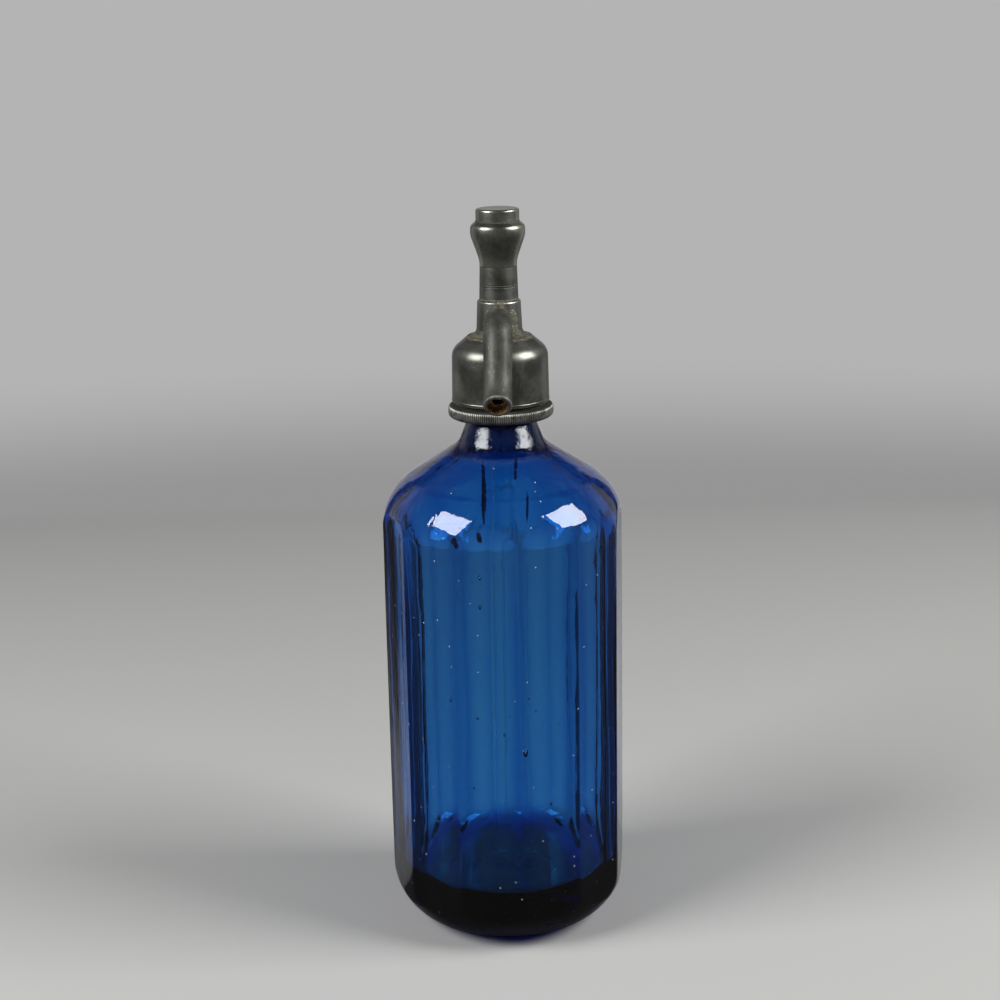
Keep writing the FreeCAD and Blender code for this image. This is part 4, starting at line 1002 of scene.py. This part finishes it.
@dataclass
class Bottle:
    """Blown bottle: ground panels, thick base, beaded neck, seeds in the glass."""

    lip: float
    radius: float = 50.0
    face: float = 48.3
    panels: int = 12
    edge_turn: float = 6.2
    wall: float = 5.5
    floor: float = 22.0
    mouth: float = 9.5
    ease: float = 0.15
    wander: float = 1.3
    wander_draw: float = 4.0
    panel_foot: tuple[float, float] = (55.0, 18.0)
    panel_top: tuple[float, float] = (140.0, 168.0)
    wall_foot: float = 6.0
    wall_foot_fade: float = 45.0
    wall_top: float = 178.0
    wall_top_fade: float = 25.0
    wall_fade: float = 1.5
    wall_inmost: float = 30.0
    half_panel: tuple[float, ...] = (0, 3, 6, 8.5, 10.5, 12, 13, 13.6, 14.07, 14.5, 15)
    seeds: tuple[Seeds, ...] = (
        Seeds(70, 7, (34, 175), (45.6, 47.6), (0.12, 0.55)),
        Seeds(24, 12, (2.5, 19), (4, 34), (0.12, 0.6)),
    )
    drawn_out: float = 1.9
    bubbles: tuple[tuple[float, float, float, float], ...] = (
        (6.9, -46.6, 90.1, 1.0),
        (-1.0, -46.6, 98.0, 0.45),
        (-9.8, -46.5, 152.0, 0.6),
        (-23.0, -42.0, 27.0, 0.5),
        (29.0, -32.0, 20.0, 0.5),
        (17.0, -43.0, 66.0, 0.4),
    )

    def outside(self) -> list[Corner]:
        """The outline from the middle of the base up to the lip."""
        radius, lip, mouth = self.radius, self.lip, self.mouth
        return corners(
            (0, 0.7), (20, 0.45, 8), (24, 0, 3), (radius, 0, 24), (radius, 184, 25), (39, 194.102, 15),
            (17.8, lip - 27.2, 9), (13.2, lip - 15.5, 6), (13.2, lip - 9, 0.5), (15.5, lip - 9, 1),
            (15.5, lip - 2, 1), (14.5, lip, 1), (mouth, lip, 1), (mouth, lip - 14),
        )

    def inside(self) -> list[Corner]:
        """The outline from the bore down to the middle of the inner floor."""
        inner, floor, mouth = self.radius - self.wall, self.floor, self.mouth
        return corners(
            (mouth, self.lip - 14), (mouth, 206.63, 5), (35.62, 189.73, 12), (inner, 181.58, 19.5),
            (inner, floor, 9), (12, floor, 40), (0, floor + 0.8),
        )

    def columns(self) -> np.ndarray:
        """Angles of the columns, close together at the panels' edges."""
        pitch = 360 / self.panels
        steps = [-offset for offset in self.half_panel[:0:-1]] + list(self.half_panel[:-1])
        middles = self.edge_turn + pitch / 2 + pitch * np.arange(self.panels)
        return np.radians([middle + step for middle in middles for step in steps])

    def grinding(self) -> Recipe:
        """A tree that grinds the flat panels and lets the inner wall wander."""
        recipe = Recipe("grind panels")
        face, pitch, start = recipe.take("Face", "Pitch", "Start")
        ease, wander, seed = recipe.take("Ease", "Wander", "Seed")
        place, z, radius, angle = recipe.polar()
        half = pitch / 2.0
        aside = recipe.math("WRAP", angle - start, half, half * -1.0)
        flat = face / recipe.math("COSINE", aside)
        (foot, foot_end), (top, top_end) = self.panel_foot, self.panel_top
        ends = recipe.spread(z, foot * MM, foot_end * MM) + recipe.spread(z, top * MM, top_end * MM)
        ground = recipe.math("SMOOTH_MIN", radius, flat, ease * recipe.ramp(ends, 5.0, 1.0))
        long = recipe.vector("MULTIPLY", place, (1.0, 1.0, 0.5))
        blown = recipe.noise(long, 28.0, detail=1.5, offset=seed)
        inner = recipe.value("GeometryNodeInputNamedAttribute", {0: "inner"}, data_type="FLOAT")
        swell = (blown - 0.5) * wander * inner
        recipe.widen(place, (ground + swell) / recipe.most(radius, NOTHING))
        return recipe

    def seeding(self) -> Recipe:
        """A tree that puts small seeds, the bubbles of old glass, into the wall and the base."""
        recipe = Recipe("seed glass")
        count, seed = recipe.take("Count", "Seed", whole=True)
        low, high, near, far, small, large = recipe.take("Low", "High", "Near", "Far", "Small", "Large")

        def chance(least: Feed, most: Feed, step: int) -> Value:
            """Draw a number between two others, differently for each step."""
            feeds = {2: least, 3: most, "Seed": seed + float(step)}
            return recipe.value("FunctionNodeRandomValue", feeds, 1, data_type="FLOAT")

        angle, away = chance(0.0, FULL_TURN, 1), chance(near, far, 2)
        across, along = away * recipe.math("COSINE", angle), away * recipe.math("SINE", angle)
        point = recipe.join(across, along, chance(low, high, 3))
        spots = recipe.node("GeometryNodePoints", {"Count": count, "Position": point})
        ball = recipe.node("GeometryNodeMeshIcoSphere", {"Radius": 1.0, "Subdivisions": 2})
        hollow = recipe.node("GeometryNodeFlipFaces", {0: ball})
        size = recipe.ramp(chance(0.0, 1.0, 4) ** 3.0, large - small, small)
        tall = size * chance(1.0, 2.6, 5)
        feeds = {"Points": spots, "Instance": hollow, "Scale": recipe.join(size, size, tall)}
        both = recipe.node("GeometryNodeJoinGeometry")
        recipe.feed(both.inputs[0], recipe.node("GeometryNodeInstanceOnPoints", feeds))
        recipe.feed(both.inputs[0], recipe.start.outputs[0])
        recipe.close(both)
        return recipe

    def build(self) -> None:
        """Make the bottle and dress it."""
        outside = trace(self.outside(), run=5.0, turn=2.5)
        inside = trace(self.inside(), run=5.0, turn=5.0)
        outline = np.concatenate([outside, inside[1:]])
        piece = turned("bottle", outline, self.columns(), closed=False)
        self.mark_inner(piece.data)
        self.blow_bubbles(piece.data)
        pitch = FULL_TURN / self.panels
        start = math.radians(self.edge_turn) + pitch / 2
        self.grinding().run(piece, Face=self.face * MM, Pitch=pitch, Start=start, Ease=self.ease * MM,
                            Wander=self.wander * MM, Seed=self.wander_draw)
        seeding = self.seeding()
        for cloud in self.seeds:
            (low, high), (near, far), (small, large) = cloud.heights, cloud.radii, cloud.sizes
            seeding.run(piece, Count=cloud.count, Seed=cloud.draw, Low=low * MM, High=high * MM,
                        Near=near * MM, Far=far * MM, Small=small * MM, Large=large * MM)
        finish = CobaltGlass("cobalt glass")
        dress(piece, finish, Body.SIPHON, ("glass_bottle",), sharp=80)

    def blow_bubbles(self, mesh: Mesh) -> None:
        """Add the few large bubbles, drawn out upwards, inside the front wall and the base."""
        stretch = Matrix.Diagonal((1, 1, self.drawn_out, 1))
        with editing(mesh) as work:
            for across, along, height, radius in self.bubbles:
                place = Matrix.Translation((across * MM, along * MM, height * MM)) @ stretch
                made = bmesh.ops.create_icosphere(work, subdivisions=3, radius=radius * MM, matrix=place)
                faces = {face for vertex in made["verts"] for face in vertex.link_faces}
                bmesh.ops.reverse_faces(work, faces=list(faces))

    def mark_inner(self, mesh: Mesh) -> None:
        """Store which points belong to the inner wall, as the attribute "inner"."""
        places = np.empty(len(mesh.vertices) * 3)
        mesh.vertices.foreach_get("co", places)
        x, y, height = places.reshape(-1, 3).T / MM
        away = np.hypot(x, y)
        wall = np.clip((self.radius - self.wall / 2 - away) / self.wall_fade, 0, 1)
        rise = np.clip((height - self.floor - self.wall_foot) / self.wall_foot_fade, 0, 1)
        fall = np.clip((self.wall_top - height) / self.wall_top_fade, 0, 1)
        store(mesh, "inner", wall * (rise * fall) * (away > self.wall_inmost))


@dataclass
class DipTube:
    """Glass tube from the head down to the thick base, its foot cut on a slant."""

    radius: float = 4.5
    bore: float = 3.1
    slant: float = 40.0

    def build(self) -> None:
        """Make the tube in its node's place."""
        low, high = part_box("dip_tube")
        foot, top = low[2] / MM, high[2] / MM
        radius, bore = self.radius, self.bore
        outline = trace(corners(
            (bore, foot), (radius, foot, 0.3), (radius, top, 0.3), (bore, top, 0.3), (bore, foot),
        ), run=12.0, turn=30)[:-1]
        piece = turned("dip_tube_glass", outline, 64)
        slope = math.tan(math.radians(self.slant))
        for vertex in piece.data.vertices:
            cut = (foot + (vertex.co.y / MM + radius) * slope) * MM
            vertex.co.z = max(vertex.co.z, cut)
        dress(piece, ClearGlass("clear glass"), Body.SIPHON, ("dip_tube",))


# ---------------------------------------------------------------- the head


@dataclass
class Collar:
    """Knurled collar under the head."""

    lip: float
    ribs: int = 150
    steps: int = 6
    rim: float = 21.45
    groove: float = 0.5
    wear_draw: float = 2.0

    def outline(self) -> np.ndarray:
        """The collar's closed outline."""
        return trace(corners(
            (17.2, -6.0), (17.2, -12.55, 0.2), (15.7, -12.55, 0.2), (15.7, -16.15, 0.5),
            (self.rim, -16.15, 1.7), (self.rim, -11.15, 1.5), (18.2, -11.15, 0.2), (18.2, -1.0, 0.3),
            (17.2, -1.0, 0.3), (17.2, -6.0),
        ), run=1.4, turn=22)[:-1]

    def knurling(self) -> Recipe:
        """A tree that presses upright grooves into the rim, each worn a little differently."""
        recipe = Recipe("knurl rim")
        count, depth, near, far, seed = recipe.take("Count", "Depth", "Near", "Far", "Seed")
        place, _, radius, angle = recipe.polar()
        wave = abs(recipe.math("SINE", angle * (count / 2.0)))
        press = 1.0 - wave ** 0.7
        on_rim = recipe.spread(radius, near, far)
        worn = recipe.spread(recipe.noise(place, 160.0, detail=2.0, offset=seed), 0.25, 0.6, 0.35, 1.0)
        cut = (press * depth) * (on_rim * worn)
        recipe.widen(place, (radius - cut) / radius)
        return recipe

    def build(self) -> None:
        """Make the collar and knurl its rim."""
        piece = turned("knurled_collar", self.outline(), self.ribs * self.steps, lift=self.lip)
        self.knurling().run(piece, Count=float(self.ribs), Depth=self.groove * MM, Seed=self.wear_draw,
                            Near=(self.rim - 1.6) * MM, Far=(self.rim - 0.7) * MM)
        # painted shade: a dark ring on the collar's top, the shadow in the gap under the skirt
        finish = Pewter("collar pewter", dark=(0.075, 0.075, 0.063), pale=(0.23, 0.23, 0.20), gloss=0.36,
                        scuffs=0.2, painted_shade=(CrustOrShadePatch(self.lip - 10.6, 1.3),))
        dress(piece, finish, Body.COLLAR, ("collar_nut",), sharp=60)


@dataclass
class Head:
    """Cast head: skirt, dome and tower, with the socket of the spout."""

    lip: float
    spout_height: float = 23.8
    socket: float = 5.8
    socket_start: float = 7.2
    socket_length: float = 20.0
    yaw: float = 2.0

    def outline(self) -> np.ndarray:
        """The casting's closed outline."""
        return trace(corners(
            (18.3, -4.0), (18.3, -9.85, 0.3), (19.9, -9.85, 0.35), (19.9, -8.5, 0.25), (19.8, -8.3, 0.2),
            (19.5, 11.4, 6.3), (12.9, 17.0, 0.35), (9.4, 17.0, 3.3), (8.75, 31.5, 0.9), (6.7, 31.5, 0.2),
            (6.7, 26.2), (5.6, 26.2), (5.6, 11.0), (3.2, 11.0), (3.2, 8.5), (7.55, 8.5), (7.55, 2.5),
            (15.65, 2.5), (15.65, -0.5), (18.3, -0.5), (18.3, -4.0),
        ), run=2.5, turn=7)[:-1]

    def socket_cutter(self) -> Object:
        """A rod where the spout's socket is bored."""
        out = (self.socket_start + self.socket_length / 2) * MM
        lie = Matrix.Rotation(math.pi / 2, 4, "X")
        shift = Matrix.Translation((0, -out, (self.lip + self.spout_height) * MM))
        turn = Matrix.Rotation(math.radians(-self.yaw), 4, "Z")
        mesh = bpy.data.meshes.new("cutter")
        with editing(mesh) as bore:
            bmesh.ops.create_cone(bore, cap_ends=True, segments=64, radius1=self.socket * MM,
                                  radius2=self.socket * MM, depth=self.socket_length * MM,
                                  matrix=turn @ shift @ lie)
        return link_object("cutter", mesh)

    def build(self) -> None:
        """Make the casting and cut the socket of the spout."""
        piece = turned("head_casting", self.outline(), 144, lift=self.lip)
        cut_away(piece, self.socket_cutter())
        lip = self.lip
        finish = Pewter("head pewter", lathe=0.5, scuffs=0.25, deposits=(
            CrustOrShadePatch(lip + 17.2, 1.6),
            CrustOrShadePatch(lip + 24.5, 5.5, 5.5, -7.5),
            CrustOrShadePatch(lip + 31.0, 2.6, 1.0, -8.6),
            CrustOrShadePatch(lip + 30.0, 3.6, 0.0, -8.8),
            CrustOrShadePatch(lip + 19.5, 5.6, 7.0, -8.4),
            CrustOrShadePatch(lip + 18.0, 3.2, -8.0, -7.5),
        ))
        dress(piece, finish, Body.SIPHON, ("head_body",), sharp=50)


@dataclass
class Spine:
    """A smooth path for the middle of a bent tube, in the plane of the spout."""

    course: list[Corner]
    yaw: float
    lip: float
    points: np.ndarray = field(init=False)
    lengths: np.ndarray = field(init=False)

    def __post_init__(self) -> None:
        """Sample the path closely and add up its length."""
        self.points = trace(self.course, run=0.4, turn=1.0)
        steps = np.linalg.norm(np.diff(self.points, axis=0), axis=1)
        self.lengths = np.concatenate([[0.0], np.cumsum(steps)])

    def at(self, along: float) -> tuple[np.ndarray, np.ndarray]:
        """Give the point and the direction at a length along the path.

        Args:
            along: the length from the path's start, in millimetres.

        Returns:
            Outwards and upwards parts of the point, and of the direction.
        """
        index = int(np.clip(np.searchsorted(self.lengths, along) - 1, 0, len(self.points) - 2))
        step = self.points[index + 1] - self.points[index]
        direction = step / np.linalg.norm(step)
        return self.points[index] + direction * (along - self.lengths[index]), direction

    def place(self, out: float, side: float, up: float) -> np.ndarray:
        """Turn a place beside the path into the frame.

        Args:
            out: distance from the head's axis, towards the mouth.
            side: distance to the right, seen from the front.
            up: height above the lip.

        Returns:
            The place in the frame, in millimetres.
        """
        sin, cos = math.sin(math.radians(self.yaw)), math.cos(math.radians(self.yaw))
        return np.array([side * cos - out * sin, -side * sin - out * cos, self.lip + up])

    def middle(self, along: float) -> Place:
        """Give the frame's place for a length along the path."""
        point, _ = self.at(along)
        return tuple(float(value) for value in self.place(point[0], 0.0, point[1]))

    def wrap(self, outline: np.ndarray, sides: int) -> list[np.ndarray]:
        """Wrap an outline of length and radius round the path.

        Args:
            outline: rows of length along the path and radius.
            sides: points in each ring.

        Returns:
            The rings.
        """
        rings = []
        around = np.arange(sides) * (FULL_TURN / sides)
        for along, radius in outline:
            point, direction = self.at(along)
            normal = np.array([-direction[1], direction[0]])
            row = []
            for angle in around:
                out, up = point + normal * radius * math.sin(angle)
                row.append(self.place(out, radius * math.cos(angle), up))
            rings.append(np.array(row))
        return rings


@dataclass
class Spout:
    """Thick spout: out of the tower, down through an elbow and forward to its mouth."""

    lip: float
    yaw: float = 2.0
    radius: float = 5.75
    bore: float = 2.2
    mouth: float = 4.2
    mouth_depth: float = 3.5
    throat_depth: float = 1.6
    start: tuple[float, float] = (7.2, 23.8)
    end: tuple[float, float] = (37.5, -4.8)
    last_run: float = 9.0
    last_fall: float = 34.0

    def spine(self) -> Spine:
        """The middle line of the spout."""
        fall = math.radians(self.last_fall)
        (out, up), (far, low) = self.start, self.end
        before = (far - self.last_run * math.cos(fall), low + self.last_run * math.sin(fall), 20)
        return Spine(corners((out, up), (20.3, up, 9), before, (far, low)), self.yaw, self.lip)

    def outline(self, end: float) -> np.ndarray:
        """The tube's closed outline, as length along the path and radius.

        Args:
            end: the whole path's length.

        Returns:
            Rows of length and radius.
        """
        radius, bore, mouth = self.radius, self.bore, self.mouth
        floor = end - self.mouth_depth
        outside = trace(corners(
            (0.6, radius - 0.02), (9.0, radius, 20), (17.0, radius + 0.12, 30), (30.0, radius - 0.12, 40),
            (end - 2.0, radius - 0.05, 20), (end, radius - 0.05, 1.1), (end, mouth, 0.35),
            (floor, mouth - 0.2, 0.6), (floor, bore, 0.2), (floor - 6, bore),
        ), run=1.2, turn=18)
        inside = trace(corners(
            (floor - 6, bore), (0.0, bore, 0.1), (0.0, radius - 0.35, 0.3), (0.6, radius - 0.02),
        ), run=2.0, turn=30)
        return np.concatenate([outside, inside[1:-1]])

    def build(self) -> None:
        """Make the spout and dress it."""
        spine = self.spine()
        length = float(spine.lengths[-1])
        rings = spine.wrap(self.outline(length), 72)
        piece = new_object("bent_spout", *skin(rings, True))
        lip = self.lip
        finish = MouthPewter(
            "spout pewter",
            dark=(0.060, 0.062, 0.054),
            pale=(0.120, 0.124, 0.107),
            gloss=0.58,
            scuffs=0.6,
            varnish=0.12,
            middle=spine.middle(length - self.mouth_depth / 2),
            throat=spine.middle(length - self.mouth_depth - self.throat_depth),
            deposits=(
                CrustOrShadePatch(lip + 29.4, 5.2, 0.0, -8.6),
                CrustOrShadePatch(lip + 27.0, 4.0, 4.6, -8.8),
                CrustOrShadePatch(lip + 26.6, 3.4, -4.8, -8.8),
            ),
        )
        dress(piece, finish, Body.SIPHON, ("spout_tube",), sharp=50)


@dataclass
class Cap:
    """Turned cap on the tower."""

    lip: float

    def outline(self) -> np.ndarray:
        """The cap's outline, from the middle of its top round to the roof over the spring."""
        return trace(corners(
            (0, 68.0), (7.3, 68.0, 2), (8.0, 67.9, 0.5), (8.75, 67.75, 0.9), (8.75, 63.0, 0.9),
            (10.9, 61.2, 2.4), (11.2, 57.8, 9), (7.55, 47.4, 13), (7.5, 45.05, 0.25), (6.3, 45.05, 0.2),
            (6.3, 51.05), (4.75, 51.05), (4.75, 64.0), (0, 64.0),
        ), run=1.6, turn=6)

    def build(self) -> None:
        """Make the cap and dress it."""
        piece = turned("tower_cap_shell", self.outline(), 128, closed=False, lift=self.lip)
        finish = Pewter("cap pewter", dark=(0.190, 0.197, 0.166), pale=(0.340, 0.350, 0.298),
                        gloss=0.24, lathe=1.0, scuffs=0.15)
        dress(piece, finish, Body.CAP, ("tower_cap",), sharp=50)


@dataclass
class Sleeve:
    """Tower sleeve with the ears of the lever, and the pivot through them."""

    lip: float
    soften: float = 0.12

    def build(self) -> None:
        """Ease the sleeve's, pin's and nut's edges and dress them."""
        lip = self.lip
        sleeve = copy_of("tower_sleeve", "tower_sleeve_turned", self.soften)
        finish = Pewter("sleeve pewter", dark=(0.088, 0.091, 0.078), pale=(0.168, 0.173, 0.149), gloss=0.36,
                        lathe=0.8, scuffs=0.2, grooves=(lip + 37.0, lip + 37.9),
                        deposits=(CrustOrShadePatch(lip + 31.6, 1.0),))
        dress(sleeve, finish, Body.SIPHON, ("tower_sleeve",), sharp=32, flat=True)
        steel = TurnedMetal("dull steel", bright=(0.36, 0.36, 0.34), dull=(0.20, 0.18, 0.15), gloss=0.3)
        for node, name in (("lever_pin", "pivot_pin"), ("lever_pin_nut", "pivot_nut")):
            piece = copy_of(node, name, self.soften)
            dress(piece, steel, Body.SIPHON, (node,), sharp=32, flat=True)


@dataclass
class Lever:
    """Bent lever with its thumb plate."""

    soften: float = 0.55

    def build(self) -> None:
        """Ease the lever's edges and dress it."""
        piece = copy_of("lever", "thumb_lever", self.soften, dissolve=0.5)
        finish = Pewter("lever pewter", dark=(0.135, 0.140, 0.119), pale=(0.245, 0.252, 0.22),
                        gloss=0.32, scuffs=0.35)
        dress(piece, finish, Body.LEVER, ("lever",), sharp=32, flat=True)


@dataclass
class Spring:
    """Coil spring between the piston and the roof of the cap."""

    coil: float = 3.25
    wire: float = 0.45
    turns: float = 7.0
    travel: float = 2.95

    def winding(self) -> Recipe:
        """A tree that winds round wire into a coil with closed ends."""
        recipe = Recipe("wind spring")
        coil, wire, turns, foot, height = recipe.take("Coil", "Wire", "Turns", "Foot", "Height")
        spiral = recipe.node("GeometryNodeCurveSpiral", {
            "Resolution": 28, "Rotations": turns, "Start Radius": coil, "End Radius": coil, "Height": height,
        })
        feeds = {"Geometry": spiral, "Translation": recipe.join(0.0, 0.0, foot)}
        lifted = recipe.node("GeometryNodeTransform", feeds)
        round_wire = recipe.node("GeometryNodeCurvePrimitiveCircle", {"Resolution": 10, "Radius": wire})
        feeds = {"Curve": lifted, "Profile Curve": round_wire, "Fill Caps": True}
        recipe.close(recipe.node("GeometryNodeCurveToMesh", feeds))
        return recipe

    def build(self) -> None:
        """Wind the spring in its node's place."""
        low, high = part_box("return_spring")
        foot = low[2] + self.wire * MM
        piece = link_object("coil_spring", bpy.data.meshes.new("coil_spring"))
        self.winding().run(piece, Coil=self.coil * MM, Wire=self.wire * MM, Turns=self.turns,
                           Foot=foot, Height=high[2] - self.wire * MM - foot)
        steel = TurnedMetal("spring wire", bright=(0.42, 0.42, 0.41), dull=(0.26, 0.25, 0.23), gloss=0.22)
        dress(piece, steel, Body.CAP, ("return_spring",))
        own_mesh(piece)


@dataclass
class Insides:
    """The small parts hidden in the head, left as the frame has them and finished."""

    def build(self) -> None:
        """Give each hidden node its finish."""
        brass = TurnedMetal("turned brass")
        rubber = SoftGoods("black rubber")
        leather = SoftGoods("oiled leather", deep=(0.10, 0.055, 0.028), rubbed=(0.26, 0.155, 0.08), grain=1.6)
        finishes = {
            brass: ("neck_split_ring_right", "neck_split_ring_left", "valve_seat", "disc_screw",
                    "valve_piston", "packing_washer", "spring_plate"),
            rubber: ("neck_gasket", "dip_tube_bush", "valve_disc", "cap_gasket"),
            leather: ("piston_packing",),
        }
        for finish, nodes in finishes.items():
            for node in nodes:
                dress_node(node, finish)


# ---------------------------------------------------------------- the studio


@dataclass
class Studio:
    """Pale ground and backdrop, two soft window lights and the camera."""

    ground: float = 0.95
    ground_sides: int = 160
    ground_rings: tuple[float, ...] = (1.0, 0.5, 0.25, 0.12, 0.0)
    ground_sunk: float = 0.02
    wall: Color = (0.46, 0.455, 0.46)
    dim: Color = (0.03, 0.03, 0.033)
    flag_mirrored: tuple[float, float] = (math.radians(26), math.radians(38))
    flag_refracted: tuple[float, float] = (math.radians(25), math.radians(62))
    flag_depth: float = 0.04
    room: float = 0.25
    distance: float = 0.7858
    target: float = 0.18283
    pitch: float = 15.1
    roll: float = 1.1
    aside: float = -0.0011
    lens: float = 68.4
    sensor: float = 36.0
    sight: float = 20.0
    light_turns: tuple[float, ...] = (-61.0, 74.0)
    light_rise: float = 33.0
    light_distance: float = 1.3
    light_target: float = 0.2
    light_size: float = 0.70
    light_power: float = 19.0

    def lay_ground(self) -> None:
        """Make the round ground."""
        around = np.arange(self.ground_sides) * (FULL_TURN / self.ground_sides)
        rows = [ring(share * self.ground / MM, around, -self.ground_sunk) for share in self.ground_rings]
        points, faces = skin(rows, False)
        mesh = bpy.data.meshes.new("ground")
        mesh.from_pydata((points * MM).tolist(), [], faces)
        mesh.materials.append(PaleGround("pale ground").material())
        ground = link_object("ground", mesh)

    def hang_backdrop(self) -> None:
        """Show a pale backdrop to the camera, the glass and the metal, and light the rest dimly."""
        world = bpy.data.worlds.new("studio")
        world.use_nodes = True
        world.node_tree.nodes.clear()
        graph = Graph(world.node_tree)
        path = graph.node("ShaderNodeLightPath").outputs
        across, along, up = graph.split(graph.node("ShaderNodeTexCoord").outputs["Generated"])
        aside = graph.math("ARCTAN2", abs(across), along)

        def between(span: tuple[float, float]) -> Value:
            """How much light comes past a pair of dark cards that span these angles."""
            card = (graph.spread(aside, span[0] - 0.05, span[0] + 0.03)
                    * graph.spread(aside, span[1] + 0.08, span[1] - 0.08))
            return graph.ramp(card, self.flag_depth - 1.0, 1.0)

        behind = graph.spread(along, 0.2, 0.62, self.room, 1.0)
        glints = behind * graph.spread(up, 0.3, 0.75, 1.0, 0.2) * between(self.flag_mirrored)
        mirrored = glints * path["Is Glossy Ray"]
        passed = between(self.flag_refracted) * path["Is Transmission Ray"]
        seen = graph.spread(up, -0.252, -0.185, 0.64, 1.0) * path["Is Camera Ray"]
        pale = graph.most(mirrored, passed, seen)
        dim, wall = (graph.node("ShaderNodeBackground", {"Color": solid(color), "Strength": 1.0})
                     for color in (self.dim, self.wall))
        either = graph.node("ShaderNodeMixShader", {0: pale, 1: dim, 2: wall})
        graph.node("ShaderNodeOutputWorld", {"Surface": either})
        bpy.context.scene.world = world

    def hang_lights(self) -> None:
        """Hang two square soft lights, one to each side of the camera."""
        rise = math.radians(self.light_rise)
        for name, turned_by in zip(("left window", "right window"), self.light_turns):
            light = bpy.data.lights.new(name, "AREA")
            light.shape = "SQUARE"
            light.size = self.light_size
            light.energy = self.light_power
            turn = math.radians(turned_by)
            flat, high = math.cos(rise) * self.light_distance, math.sin(rise) * self.light_distance
            offset = Vector((math.sin(turn) * flat, -math.cos(turn) * flat, high))
            lamp = link_object(name, light)
            lamp.location = Vector((0, 0, self.light_target)) + offset
            lamp.rotation_euler = (-offset).to_track_quat("-Z", "Y").to_euler()

    def set_camera(self) -> None:
        """Stand the camera in front, a little above and looking down."""
        camera = bpy.data.cameras.new("camera")
        camera.lens = self.lens
        camera.sensor_width = self.sensor
        camera.clip_end = self.sight
        stand = link_object("camera", camera)
        down = math.radians(self.pitch)
        back, above = self.distance * math.cos(down), self.distance * math.sin(down)
        stand.location = (self.aside, -back, self.target + above)
        roll = Matrix.Rotation(math.radians(-self.roll), 4, "Z")
        stand.rotation_euler = (Matrix.Rotation(math.pi / 2 - down, 4, "X") @ roll).to_euler()
        bpy.context.scene.camera = stand

    def build(self) -> None:
        """Set up the whole studio."""
        self.lay_ground()
        self.hang_backdrop()
        self.hang_lights()
        self.set_camera()
        bpy.context.scene.view_settings.view_transform = "Standard"


def main() -> None:
    """Build every piece in order."""
    logging.basicConfig(level=logging.INFO, format="%(message)s")
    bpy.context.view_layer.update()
    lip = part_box("glass_bottle")[1][2] / MM
    makers: list[Callable[[], None]] = [
        Studio().build,
        Bottle(lip).build,
        DipTube().build,
        Collar(lip).build,
        Head(lip).build,
        Spout(lip).build,
        Sleeve(lip).build,
        Cap(lip).build,
        Lever().build,
        Spring().build,
        Insides().build,
    ]
    for make in makers:
        make()


if __name__ == "__main__":
    main()
